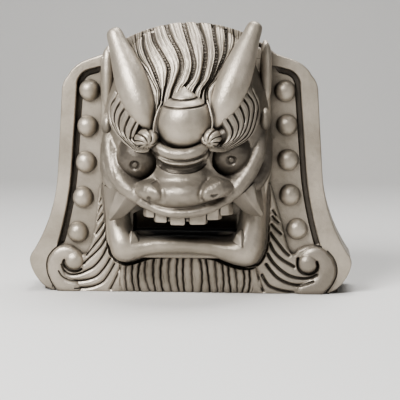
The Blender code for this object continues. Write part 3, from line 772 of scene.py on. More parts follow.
def brow(side):
    """A brow: a comb of locks on a bulge, all drawn together under the curl. Each lock rises by a
    fourth power of its width, with two finer cuts on it, and falls by an eased step in each cut."""
    cuts = []
    for number, line in enumerate(np.array(BROWS[side], float)):
        under = np.array(CURL_FOOT[side]) + (side * -0.5 * number, 0.75 * number)
        cuts.append(np.concatenate((line[:1] + 5.0 * unit(line[0] - line[1]), line, under)))

    def base(x):
        return np.interp(np.abs(x), *np.array(BROW_DEPTHS, float).T)

    rows = 110
    sheet, share, wide, gap = combed(cuts, BROW_WIDTHS[-len(cuts) :], 20, rows, base)
    t = np.linspace(0.0, 1.0, rows)[:, None]
    s = np.linspace(0.0, 1.0, share.shape[1])[None]
    opened = (1.0 - ease(gap, 0.35, 1.0)) * ease(t, 0.05, 0.16) * (1 - ease(t, 0.7, 0.9))
    crest = 1.0 - (2 * share - 1) ** 4
    fine = np.exp(-((np.sin(3 * math.pi * share) / 0.35) ** 2)) * (share > 0.15) * (share < 0.85)
    raised = ease(wide, 0.3, 3.0) * (1.3 * crest - 0.4 * fine * ease(wide, 2.0, 4.0) * ease(t, 0.08, 0.2))
    sunk = np.minimum(0.3 * wide + 0.4, 1.5) * opened
    along, across = np.sin(math.pi * np.clip(t, 0.0, 1.0)), np.sin(math.pi * np.clip(s, 0.02, 0.98))
    bulge = 3.2 * along**0.7 * across**0.4
    border = ease(s, 0.0, 0.05) * (1.0 - ease(s, 0.96, 1.0)) * ease(t, 0.0, 0.02)
    heart = np.array((side * 40.0, 128.0, 27.0))
    lift = bulge + raised * (1 - opened) - sunk - 5.0 * (1 - border)
    sheet = sheet + lift[..., None] * normals_of(sheet, heart)
    # painted shade: the brows lie in shade, the right one more, and the cuts darker still
    painted_shade = 0.27 + 0.12 * side + 0.55 * opened * ease(wide, 0.5, 1.6)
    return domed(on_head(sheet), on_head(heart), painted_shade)


def curl(side):
    """A bud of hair like a shell: a ball whose skin is cut by arms that spread from its lower rim."""
    centre, radii = CURLS[side]
    lift, turn = np.radians(np.linspace(3.0, 130.0, 70))[:, None], full_turn(170)
    x = np.sin(lift) * np.cos(turn)
    z = np.sin(lift) * np.sin(turn)
    from_x, from_z = x + side * 0.12, z + 0.62
    around, away = np.arctan2(from_z, from_x), np.hypot(from_z, from_x)
    phase = 4.6 * (around * side + 0.55 * away)
    arms = np.abs(np.sin(phase))
    cut = np.exp(-((arms / 0.32) ** 2)) * ease(away, 0.25, 0.6)
    size = 1.0 + 0.05 * arms - 0.13 * cut - 0.16 * np.exp(-((away / 0.16) ** 2))
    points = np.array(centre) + grid_of(x, z, np.cos(lift)) * size[..., None] * radii
    # painted shade in the cuts
    return ringed(on_head(points), 0.9 * cut)


def knob(centre, radii, side):
    """A plain rounded knob: an ellipsoid ringed from its front pole to behind."""
    lift, turn = np.radians(np.linspace(3.0, 150.0, 30))[:, None], full_turn(48)
    ball = grid_of(np.sin(lift) * np.cos(turn), np.sin(lift) * np.sin(turn), np.cos(lift))
    # painted shade: darker towards the bottom, away from the light above
    dark = 0.8 * ease(-ball[..., 1], -0.5, 0.5)
    return ringed(on_head(mirrored(np.array(centre) + ball * radii, side)), dark)


def build_brows():
    """Both brows, with the curls at their feet, the ears' knobs and the tufts above them."""
    shells = []
    for side in (-1, 1):
        shells.append(brow(side))
        shells.append(curl(side))
        shells.append(knob(*KNOB, side))
        shells.append(ringed(on_head(mirrored(stroke(TUFT, 20), side))))
        shells.append(ringed(on_head(stroke(HORN_LINES[side], 14))))
    add_piece("brows_and_ears", shells)


# ---------------------------------------------------------------- horns and jewel

HORN_ENDS = {  # root and tip
    -1: ((-24.8, 124.8, 45.0), (-52.6, 197.0, 21.0)),
    1: ((22.2, 124.8, 45.0), (50.9, 197.6, 21.0)),
}
HORN = (  # share of the horn's length, radius
    (0.0, 1.2), (0.07, 5.4), (0.19, 10.0), (0.36, 12.0), (0.54, 11.4), (0.72, 9.0),
    (0.86, 6.9), (0.94, 6.1), (0.98, 5.2), (1.0, 3.4), (1.004, 1.6),
)  # fmt: skip
JEWEL_CAP = (  # height along the jewel's axis, radius, above the ball
    (12.3, 15.3), (12.5, 14.2), (12.9, 13.7), (13.4, 13.9), (13.8, 14.5), (14.5, 14.0), (16.0, 12.1),
    (16.9, 10.4), (17.1, 9.0), (17.5, 8.1), (18.0, 8.2), (18.4, 8.8), (19.1, 8.3), (20.4, 6.9),
    (22.0, 4.7), (24.3, 2.0), (25.6, 0.4),
)  # fmt: skip
JEWEL_CENTRE = (0.0, 129.5, 41.5)
JEWEL_LEAN = 10.5  # degrees forward


def horn(side):
    """A horn: a straight axis with its radius from a smooth table of stations."""
    table = spline(HORN, 8)
    share, radius = table[:, :1], table[:, 1:]
    root, tip = (np.array(end) for end in HORN_ENDS[side])
    stations = np.concatenate((root + share * (tip - root), radius), axis=1)
    return ringed(on_head(stroke(stations, 96, steps=1)))


def jewel():
    """A turned ball with a stepped, pointed cap: its profile carried round a leaning axis."""
    lift = np.radians(np.linspace(-88.0, 38.5, 90))
    ball = np.column_stack((19.9 * np.sin(lift), 20.0 * np.cos(lift)))
    profile = np.concatenate((ball, even(spline(JEWEL_CAP, 6), 90)))
    height, radius = profile[:, :1], profile[:, 1:]
    turn, lean = full_turn(144), math.radians(JEWEL_LEAN)
    forward = -radius * np.cos(turn)
    x = radius * np.sin(turn) + JEWEL_CENTRE[0]
    z = JEWEL_CENTRE[1] + height * math.cos(lean) - forward * math.sin(lean)
    d = JEWEL_CENTRE[2] + height * math.sin(lean) + forward * math.cos(lean)
    # painted shade in the cap's two grooves
    painted_shade = np.exp(-(((height - 13.0) / 0.6) ** 2)) + np.exp(-(((height - 17.5) / 0.55) ** 2))
    return ringed(on_head(grid_of(x, z, d)), 0.95 * painted_shade)


def build_horns():
    """The horns and the jewel, whose roots are cut off inside the wall of the head."""
    inside = [dome(WALL - 1.5)]
    add_piece("horn_left", [horn(-1)], inside)
    add_piece("horn_right", [horn(1)], inside)
    add_piece("jewel", [jewel()], inside)


# ---------------------------------------------------------------- hair

HAIR_Z = (134.0, 150.2, 158.6, 167.3, 176.2, 185.5, 195.5)
HAIR_CUTS = (  # x of each cut between the locks, at the heights above
    (-20.5, -19.4, -23.1, -28.2, -34.6, -40.6, -47.5), (-19.8, -18.2, -21.6, -26.2, -32.8, -36.0, -37.4),
    (-19.0, -16.7, -19.2, -22.8, -27.4, -30.6, -30.9), (-17.0, -14.2, -12.1, -11.5, -16.6, -22.4, -25.4),
    (-12.0, -8.6, -4.9, -2.0, -4.2, -10.0, -14.7), (-5.0, -2.2, 4.0, 6.6, 5.2, 1.7, -1.9),
    (4.5, 7.0, 12.0, 14.2, 14.8, 13.0, 8.4), (11.0, 12.6, 18.5, 21.6, 23.0, 21.4, 19.7),
    (16.0, 15.0, 20.9, 25.0, 28.6, 29.5, 28.8), (17.5, 16.2, 21.8, 26.6, 32.0, 34.9, 34.5),
    (18.5, 16.8, 22.6, 27.8, 34.4, 40.3, 43.3), (19.5, 20.5, 27.0, 33.0, 39.5, 45.5, 52.0),
)  # fmt: skip
CUT_WIDTH = (0.3, 0.4, 1.2, 1.4, 1.7, 1.6, 1.6, 1.5, 1.3, 0.5, 0.4, 0.3)
BAR_STEP = 2.15  # between the small bars that cross the cuts


def hair(cut_depth):
    """The hair from the jewel to the crown. Across it, each lock lies between two cuts; along it,
    the cuts follow their curves. It is raised on the locks and sunk by an eased step in the cuts,
    which small bars cross, and at the top it turns over and down behind."""
    per_lock, rows = 26, 210
    table = spline(np.column_stack((HAIR_Z, np.array(HAIR_CUTS).T)), 12)
    t = np.linspace(0.0, 1.0, rows)
    z_row = HAIR_Z[0] + t * (HAIR_Z[-1] - HAIR_Z[0])
    cuts = np.stack([np.interp(z_row, table[:, 0], column) for column in table[:, 1:].T], axis=1)
    u = np.linspace(0.0, len(HAIR_CUTS) - 1.0, (len(HAIR_CUTS) - 1) * per_lock + 1)
    cell = np.minimum(u.astype(int), len(HAIR_CUTS) - 2)
    s = (u - cell)[None]
    left, right = cuts[:, cell], cuts[:, cell + 1]
    x = left + s * (right - left)
    t = t[:, None]
    z = z_row[:, None] + t**2 * (crown_z(x) - HAIR_Z[-1])
    depth = -soft_min(-head_depth(x, z), -(BLOCK_FRONT + 1.0), 6.0)
    wide = right - left
    grow = 0.5 + 0.5 * ease(t, 0.15, 0.5)
    widths = np.array(CUT_WIDTH)
    from_left = s * wide / (grow * widths[cell][None])
    from_right = (1 - s) * wide / (grow * widths[cell + 1][None])
    open_cut = 1.0 - ease(np.minimum(from_left, from_right), 0.62, 1.25)
    nearest = np.where(from_left < from_right, cell[None], cell[None] + 1)
    along = (z + 0.6 * nearest + 0.25 * np.sin(z * 1.1 + nearest)) / BAR_STEP
    bars = np.exp(-(((along - np.round(along)) * BAR_STEP / 0.45) ** 2)) * ease(t, 0.3, 0.5)
    bars = bars * (0.6 + 0.4 * np.sin(12.9 * np.round(along) + 4.1 * nearest))
    deep = ease(widths[nearest], 0.4, 1.4)
    floor = cut_depth * (0.25 + 0.75 * deep) * (1.0 - 0.4 * bars * deep)
    crest = 1.0 - (2 * s - 1) ** 4
    strands = 3.0 + (cell[None] % 2)
    fine = np.exp(-((np.sin(math.pi * strands * s) * wide / strands / math.pi / 0.30) ** 2))
    fine = fine * ease(wide, 3.0, 6.0) * (s > 0.1) * (s < 0.9)
    raised = 1.1 * crest - 0.6 * fine
    relief = raised * (1 - open_cut) - floor * open_cut + 0.15 * ripple(x, z, 5.0)
    sheet = grid_of(x, z, depth)
    heart = np.array((0.0, 168.0, -12.0))
    sheet = sheet + relief[..., None] * normals_of(sheet, heart)
    over = np.array(((0.0, 0.0, 1.5), (0.0, 0.15, 4.0), (0.0, 0.3, 8.0), (0.0, 1.0, 14.0)))
    sheet = np.concatenate((sheet, sheet[-1:] - over[:, None]))
    # painted shade in the cuts, less where the bars cross them, and along the finer lines
    painted_shade = np.maximum(open_cut * (0.3 + 0.5 * deep) * (1.0 - 0.5 * bars), 0.2 * fine)
    painted_shade = np.concatenate((painted_shade, np.repeat(painted_shade[-1:], len(over), axis=0)))
    return domed(on_head(sheet), on_head(heart), painted_shade)


def build_hair():
    add_piece("hair", [hair(bpy.context.scene.onigawara_sizes.cut_depth / MM)], hollow())


# ---------------------------------------------------------------- jaw, teeth and fangs

JAW = (  # outer (x, z), inner (x, z), depth of the front; from the left cheek round to the right
    (-64.5, 90, -43, 90, 10), (-64.0, 78, -43, 78, 13), (-63.0, 68, -42.6, 68, 15.5),
    (-61.8, 55, -42.2, 57, 18.5), (-60.3, 44, -41.5, 51, 21.5), (-59.0, 36, -39.5, 47.8, 24),
    (-56.9, 29, -37.5, 46, 25), (-52.5, 24.6, -35, 44.8, 25), (-46, 23.4, -31.5, 44.6, 24.5),
    (-38, 25.6, -27, 44.9, 23.5), (-30, 28.3, -21, 45.4, 22.5), (-20, 29.5, -13, 45.7, 21.5),
    (-5, 29.8, -3, 45.8, 21), (9, 29.4, 7, 45.8, 21.2), (19, 28.2, 15, 45.6, 21.8),
    (27, 24.9, 21, 45.3, 22.8), (36, 21.9, 26, 45.1, 24), (44, 21.1, 30, 45.2, 25),
    (50, 23.2, 32.5, 46, 25), (54.5, 29.5, 34.2, 48, 24), (56.8, 38, 35.4, 51, 22),
    (57.4, 52, 36.8, 57, 18.5), (57.9, 68, 37.5, 68, 15.5), (58.3, 78, 38, 78, 13),
    (58.6, 90, 38.5, 90, 10),
)  # fmt: skip
TEETH = (  # left edge, right edge, and the height of the biting edge
    (-30.0, -23.0, 60.8), (-22.3, -13.2, 57.6), (-10.4, 0.4, 56.2),
    (4.0, 15.9, 56.6), (16.7, 25.4, 59.6), (26.3, 33.0, 62.6), (-12.9, -10.7, 58.4), (0.8, 3.7, 58.6),
)  # fmt: skip
BITE_CURVE = 0.0105  # how fast the row of teeth falls back from its middle
BITE_FRONT = 44.0
GUM_Z = 69.5
TOOTH_HALF = 3.6  # half of a tooth from front to back


def jaw():
    """One fat roll bent like a U: between its outer and inner lines the front swells as a
    superellipse, and behind it is flat."""
    table = even(spline(JAW, 16), 420)
    outer, inner, front = table[:, None, 0:2], table[:, None, 2:4], table[:, None, 4]
    angle = full_turn(96)
    across = np.sign(np.cos(angle)) * np.abs(np.cos(angle)) ** 0.8
    rise = np.sign(np.sin(angle)) * np.abs(np.sin(angle)) ** 0.8
    middle, half = (outer + inner) / 2, (outer - inner) / 2
    flat = middle + half * across[..., None]
    depth = np.where(rise > 0, (front + 2.0) * rise - 2.0, 7.0 * rise - 2.0)
    depth = depth + 0.25 * ripple(flat[..., 0] * 0.4, flat[..., 1] * 0.4, 7.0) * (rise > 0.2)
    return ringed(np.concatenate((flat, depth[..., None]), axis=-1))


def tooth(left, right, tip_z):
    """A worn block: a box with its edges rounded by a high power of sine and cosine."""
    middle = (left + right) / 2
    depth = BITE_FRONT - BITE_CURVE * middle**2
    if right - left < 4.0:  # the slivers between the teeth lie further back
        depth -= 3.0
    height = GUM_Z - tip_z + 0.004 * middle**2
    lift, turn = np.radians(np.linspace(-88.0, 88.0, 30))[:, None], full_turn(56)

    def squared(value):
        return np.sign(value) * np.abs(value) ** 0.22

    a = squared(np.cos(lift)) * squared(np.cos(turn)) * (right - left) / 2
    b = squared(np.cos(lift)) * squared(np.sin(turn)) * TOOTH_HALF
    c = squared(np.sin(lift)) * height / 2
    spin = 1.6 * BITE_CURVE * middle
    x = middle + 0.6 + a * math.cos(spin) - b * math.sin(spin)
    d = depth + b * math.cos(spin) - a * math.sin(spin)
    return ringed(grid_of(x, tip_z + height / 2 + c, d))


UPPER_FANG = (  # a fang's edges, each from its root to the tip, on the left
    ((-60.9, 81.5, 18), (-59.3, 71.5, 24), (-57.0, 61.5, 26)),
    ((-50, 82, 34), (-53.3, 71.5, 34.5), (-56, 62.2, 29.5)),
    ((-43, 75.5, 39), (-48.6, 67.2, 36), (-54.2, 60.2, 29.5)),
    ((-33, 71.5, 36), (-43.4, 62.2, 31), (-53, 58.8, 27)),
    ((-38, 71.5, 16), (-47, 63.5, 19), (-55, 59.5, 24)),
    ((-56, 84, 10), (-57.3, 72, 17), (-56.6, 61.2, 24)),
)
LOWER_FANG = (
    ((-44.8, 38, 20), (-44.2, 43, 20.5), (-42, 47.6, 18.5)),
    ((-41.6, 36.6, 25), (-41, 42, 23), (-40.8, 48, 20)),
    ((-34.8, 41, 21), (-37, 45, 20.5), (-39.6, 47.9, 19)),
    ((-35, 41, 12), (-37.5, 45, 14), (-40, 47.6, 17)),
    ((-43, 39, 10), (-42.6, 44, 13), (-41.3, 47.4, 16.5)),
)
LOWER_FANG_SHIFT = {-1: (0.0, 0.0, 0.0), 1: (-1.0, 2.0, 1.2)}
FACET_STEPS = 14
# painted light and shade on a fang's facets: lighter on those turned up to the light, darker below
FACET_SHADE = np.repeat((0.3, 0.45, 0.7, 0.8, 0.8, 0.5), FACET_STEPS)
BLUNT = ((0.86, 0.7), (0.55, 1.3), (0.2, 1.6))  # each last ring's size, and how far on it lies


def fang(edges, side, bow=1.0):
    """A cut fang: flat sides between edges that run from the root to a blunt tip, the edges
    softened by averaging each ring with its neighbours."""
    path = np.stack([spline(edge, 16) for edge in edges], axis=1)
    share = np.linspace(0.0, 1.0, FACET_STEPS, endpoint=False)[:, None]
    ring = path[:, :, None] * (1 - share) + np.roll(path, -1, axis=1)[:, :, None] * share
    ring = ring.reshape(len(path), -1, 3)
    for _ in range(4):
        ring = (np.roll(ring, 1, axis=1) + 2 * ring + np.roll(ring, -1, axis=1)) / 4
    tip = ring[-1].mean(axis=0)
    ahead = unit(tip - ring[-3].mean(axis=0))
    ends = [tip + (ring[-1] - tip) * size + ahead * gone * bow for size, gone in BLUNT]
    root = ring[:1] - 0.35 * (ring[8:9] - ring[:1])
    points = mirrored(np.concatenate((root, ring, ends)), -side)[:, ::side]
    return ringed(points, FACET_SHADE[: points.shape[1]][::side] + 0.0 * points[..., 0])


def build_jaw():
    """The jaw, and in one piece the teeth with a slimmer fang on the right."""
    add_piece("jaw", [jaw()], hollow())
    shells = [tooth(*row) for row in TEETH]
    for side in (-1, 1):
        points, *rest = fang(UPPER_FANG, side)
        if side > 0:
            points[:, 0] -= 0.3 * np.maximum(points[:, 1] - 62.0, 0.0) * ease(points[:, 0], 50.0, 58.0)
        shells.append((on_head(points), *rest))
        points, *rest = fang(LOWER_FANG, side, 0.6)
        shells.append((points + LOWER_FANG_SHIFT[side], *rest))
    add_piece("teeth_and_fangs", shells, crisp=30.0)


# ---------------------------------------------------------------- beard, whiskers and volutes


def jaw_edge():
    """The jaw's outer line, as x and the height below which the beard begins."""
    table = even(spline(JAW, 16), 400)
    low = table[(table[:, 1] < 40) & (np.abs(table[:, 0] - JAW_SHIFT) < 55)]
    return low[:, 0], low[:, 1]


FEET = {  # the lines of each foot's carving, from the front
    -1: {
        "edge": ((-66.2, 81), (-68.1, 77), (-68.9, 70), (-69.7, 58.7), (-70.9, 48.4), (-72.9, 39.8),
                 (-75.1, 32.7), (-78, 27.8), (-80.6, 27.6), (-83.7, 30.8), (-88.4, 33.8), (-94.1, 34.9),
                 (-98.3, 34.2)),
        "contour": ((-98.3, 34.2), (-102.7, 30.5), (-106.2, 25.7), (-107.5, 20.5), (-107, 13.8),
                    (-104.4, 7.2), (-101.6, 2.4), (-99, -3)),
        "roll": ((-88, 2, 6), (-96.5, 5, 7), (-100.8, 12, 6.8), (-101, 20, 6.4), (-97.8, 27, 6.2),
                 (-92.5, 29, 6), (-88.5, 26.5, 6.6), (-86.9, 23.4, 6.6)),
        "eye": (-86.7, 23.2, 7.0),
        "cuts": (
            (0.8, 1.2, ((-66, 70.5), (-67.8, 66.8))),
            (0.9, 1.4, ((-65.6, 65.1), (-67.1, 63), (-68.5, 60))),
            (1.0, 1.7, ((-64.8, 58.8), (-66.9, 55.9), (-69.2, 53))),
            (1.1, 1.9, ((-64.1, 52), (-66.9, 47.9), (-70.2, 43.6))),
            (1.2, 2.2, ((-63.3, 46), (-66.5, 40.9), (-70.8, 35.6), (-74.2, 31.3), (-77.4, 27.2))),
            (1.2, 2.2, ((-62.7, 39.5), (-66.1, 34.2), (-70.4, 29.5), (-75.2, 25.1), (-79.4, 21))),
            (1.3, 2.4, ((-61.8, 33), (-65.7, 25.7), (-71.4, 19), (-77.1, 15.6), (-83.8, 12.9),
                        (-90, 12.6), (-94.5, 15.5), (-96.3, 20.4))),
            (1.2, 2.2, ((-59.3, 25), (-62.9, 19.1), (-68.6, 12.4), (-74.4, 9.3), (-82, 7.8),
                        (-89.6, 8), (-95.6, 11.1), (-98.3, 15.4))),
            (1.1, 1.9, ((-56.1, 21), (-60.1, 13.9), (-64.9, 7.4), (-71.6, 3.9), (-78.2, 2.5), (-86, 2.2))),
            (1.1, 1.6, ((-51.1, 19.5), (-54.4, 11.6), (-59.2, 2))),
            (1.8, 3.2, ((-81.5, 16.4), (-84, 15.2), (-87.4, 14.8), (-91.2, 16), (-94.2, 18.8),
                        (-95, 21.4), (-94.2, 23.6))),
        ),
    },
    1: {
        "edge": ((60.6, 82), (62.2, 77), (64.3, 69.3), (66.7, 60.9), (69.1, 52.5), (71, 44.2),
                 (73.3, 35.8), (76.2, 30), (78.6, 29.6), (81.2, 33.1), (86.7, 35.7), (93.2, 36.2),
                 (98.7, 34.9), (102.5, 32.4)),
        "contour": ((102.5, 32.4), (107.1, 27.2), (109.7, 20.3), (109.4, 13.7), (106.4, 7.1),
                    (102.2, 1.4), (100, -3)),
        "roll": ((86, 2, 6), (96, 5, 7.6), (102.2, 12, 7.6), (103, 20.5, 6.8), (99.4, 28, 6.4),
                 (94, 30, 6), (90, 27, 6.8), (88.7, 23.6, 7)),
        "eye": (88.6, 23.2, 7.4),
        "cuts": (
            (0.9, 1.6, ((62.1, 62.2), (64.6, 58.8))),
            (1.0, 1.9, ((62, 57.8), (64, 55.3), (66.6, 53.2))),
            (1.2, 2.1, ((61.3, 51.8), (64.5, 48.3), (68.6, 44.7))),
            (1.5, 2.6, ((60.6, 45.4), (63.6, 41.3), (67.3, 36.6), (71, 32), (74.6, 28.8))),
            (1.6, 2.7, ((60, 38), (63.2, 31.9), (67.4, 27.3), (72, 24), (78.4, 20.4))),
            (1.7, 2.8, ((58.6, 29.8), (62.7, 23.5), (68.3, 17.9), (74.9, 13.5), (82.3, 11.6),
                        (89.7, 12), (95.4, 14.4))),
            (1.6, 2.6, ((57.6, 22), (63.7, 14.1), (69.3, 9.9), (75.8, 7.2), (83.3, 6.4), (92.6, 9.4))),
            (1.4, 2.3, ((54.5, 14), (59.1, 6.6), (63.8, 3.9), (69.4, 2.1), (77.7, 0.8))),
            (1.2, 2.0, ((50.6, 19), (52.4, 10), (55.4, 2))),
            (1.6, 3.2, ((81.4, 26.4), (81.4, 20.4), (84.2, 16.2), (89.3, 14.8), (94, 16.6), (96.1, 20.4),
                        (95.2, 24.2))),
        ),
    },
}  # fmt: skip


def inside_gap(x, z, outline):
    """How far inside a closed outline each place is, and below zero how far outside. A place is
    inside where a level line from it crosses the outline an odd number of times."""
    crossings = np.zeros(x.shape, bool)
    ends = np.roll(outline, -1, axis=0)
    for (ax, az), (bx, bz) in zip(outline, ends):
        if az != bz:
            level = (az > z) != (bz > z)
            crossings ^= level & (x < (bx - ax) * (z - az) / (bz - az) + ax)
    gap = line_gap(x, z, np.concatenate((outline, outline[:1])), 1)
    return np.where(crossings, gap, -gap)


def foot_relief(x, z, side):
    """The carving of a foot: strands between swept cuts, and a roll that winds up into a domed eye.
    The roll's height is the root of what is left of one after the squared distance over the
    squared radius is taken."""
    lines = FEET[side]
    cut, near = 0.0 * x, 9.0 + 0.0 * x
    for width, depth, line in lines["cuts"]:
        width, depth = width * (0.85 + 0.12 * side), depth * (0.85 + 0.1 * side)
        gap = line_gap(x, z, np.array(line, float))
        cut = np.maximum(cut, 0.85 * depth * (1.0 - ease(gap, 0.1 * width, 0.8 * width)))
        near = np.minimum(near, gap)
    roll = 0.0 * x
    path = spline(lines["roll"], 6)
    for cx, cz, radius in path:
        roll = np.maximum(roll, 1.0 - ((x - cx) ** 2 + (z - cz) ** 2) / radius**2)
    cx, cz, radius = lines["eye"]
    eye = np.maximum(1.0 - ((x - cx) ** 2 + (z - cz) ** 2) / radius**2, 0.0)
    strands = 0.9 * ease(near, 0.3, 2.2)
    swell = np.maximum(3.2 * np.sqrt(roll), 5.2 * np.sqrt(eye))
    base = -1.2 + 2.4 * ease(60.0 - z, 0.0, 30.0) - 0.6 * ease(side * x, 62.0, 76.0)
    # painted shade: darker in the cuts, and over the right foot, away from the light
    shade = 0.5 * ease(x, 62.0, 92.0)
    return base + np.maximum(strands, swell) - cut, np.maximum(cut / 3.0, shade)


BEARD = (  # x of each cut between its strands: under the jaw, half way and at the ground
    (-57, -58.5, -61), (-51.4, -52.2, -51.1), (-46.5, -47.7, -46.6), (-41.6, -42.8, -40.9),
    (-35.9, -38.2, -36.8), (-31.4, -33.1, -29.2), (-25.7, -26.9, -25.1), (-19.4, -21.3, -19.4),
    (-13.7, -15.3, -13.0), (-7.7, -9.2, -7.4), (-3.6, -4.4, -3.3), (2.0, 2.2, 3.1), (7.3, 9.9, 8.8),
    (12.5, 14.4, 15.9), (19.2, 20.4, 21.5), (24.1, 26.0, 25.6), (29.3, 30.1, 31.6),
    (33.8, 35.7, 36.1), (39.8, 41.6, 39.8), (44.2, 45.7, 44.3), (49.5, 53, 57), (55, 60, 66),
)  # fmt: skip


def beard_relief(x, z):
    """The beard: strands between cuts that bend a little, each cut a parabola in height, and
    thinner cuts along some strands. The strands swell towards the jaw."""
    v = np.clip(z / np.interp(x, *jaw_edge()), 0.0, 1.2)
    cut, thin, near = 0.0 * x, 0.0 * x, 9.0 + 0.0 * x
    for number, (top, middle, low) in enumerate(BEARD):
        bend = 2 * (top + low) - 4 * middle
        gap = x - low - (top - low - bend) * v - bend * v**2
        gap = gap + 0.15 * np.sin(0.9 * z + 2.4 * number)
        cut = np.maximum(cut, (0.75 + 0.25 * math.sin(2.1 * number)) * np.exp(-((gap / 0.42) ** 2)))
        thin = np.maximum(thin, np.exp(-(((gap - 2.2 - 0.5 * math.sin(3.7 * number)) / 0.28) ** 2)))
        near = np.minimum(near, np.abs(gap))
    thin = thin * (0.5 + 0.5 * np.sin(0.35 * z + 0.8 * x))
    strand = 1.2 * ease(near, 0.2, 2.4) * (1.0 - 0.4 * ease(v, 0.5, 0.0))
    # painted shade in the cuts and thin lines, and a little all over
    painted_shade = np.maximum(np.maximum(0.55 * cut, 0.4 * thin), 0.15)
    return 1.2 + 2.5 * v + strand - 1.6 * cut - 0.5 * thin, painted_shade


def skirt(x, z):
    """A sheet of the carving under and beside the jaw, its depth a height over (x, z): the beard,
    eased into each foot's carving, which falls away outside the foot's own outline."""
    depth, painted_shade = beard_relief(x, z)
    jaw_line = even(spline(JAW, 8), 120)[:, :2]
    for side in (-1, 1):
        there = side * x > 46.0
        if not there.any():
            continue
        relief, dark = foot_relief(x, z, side)
        outward = ease(side * x, 49.0, 54.0)
        share = np.where(there, np.maximum(outward, ease(z, 30.0, 34.0)), 0.0)
        depth = depth * (1 - share) + relief * share
        painted_shade = painted_shade * (1 - share) + dark * share
        lines = FEET[side]
        bottom = ((side * 99.0, -6.0), (side * 30.0, -6.0), (side * 30.0, 82.0))
        outline = np.concatenate((lines["edge"], lines["contour"][1:], bottom)).astype(float)
        gap = inside_gap(x, z, outline)
        depth = depth - 1.2 * np.where(there, 1.0 - ease(gap, 0.0, 1.8), 0.0)
        inside = np.where(there, ease(gap, -0.35, 0.25), 1.0)
        depth = depth * inside - 9.0 * (1 - inside)
    # a groove under the jaw, with painted shade in it
    gap = line_gap(x, z, jaw_line, 1)
    groove = (1.0 - ease(gap, 1.6, 3.4)) * (depth > -5.0)
    depth = depth * (1.0 - groove) - 0.8 * groove
    painted_shade = np.maximum(painted_shade * (1.0 - groove), 0.75 * groove)
    return np.stack((x, z, depth), axis=-1), np.clip(painted_shade, 0.0, 1.0)


def skirt_piece(name, low_x, high_x, high_z, counts, heart):
    """A closed piece of the skirt: its lowest row goes straight back, under the grooves."""
    z = np.append(0.3, np.linspace(0.3, high_z, counts[1]))[:, None]
    reach = np.clip(outer_half(z) - 2.5, 0.0, 111.0)
    low, high = np.maximum(low_x, -reach), np.minimum(high_x, reach)
    x = low + np.linspace(0.0, 1.0, counts[0])[None] * (high - low)
    sheet, painted_shade = skirt(x, z + 0.0 * x)
    sheet[0, :, 2] = -8.0
    add_piece(name, [domed(sheet, heart, painted_shade)], hollow(), crisp=62.0)


SKIRT_PIECES = (  # name, sides, top, points across and up, and the place where the back closes
    ("beard", -52.0, 52.0, 31.0, (380, 110), (-2.0, 12.0, -12.0)),
    ("whiskers_left", -111.0, -52.0, 84.0, (220, 300), (-76.0, 40.0, -12.0)),
    ("whiskers_right", 52.0, 111.0, 84.0, (220, 300), (76.0, 40.0, -12.0)),
)


def build_beard():
    for piece in SKIRT_PIECES:
        skirt_piece(*piece)


# ---------------------------------------------------------------- clay


THROAT_MIDDLE = (-0.002, (RIM_Y + 9.0) * MM, 0.056)  # the middle of the painted shade behind the teeth, in metres
THROAT_REACH = (0.050, 0.038, 0.027)
THROAT_SHADE = (0.006, 0.006, 0.006)


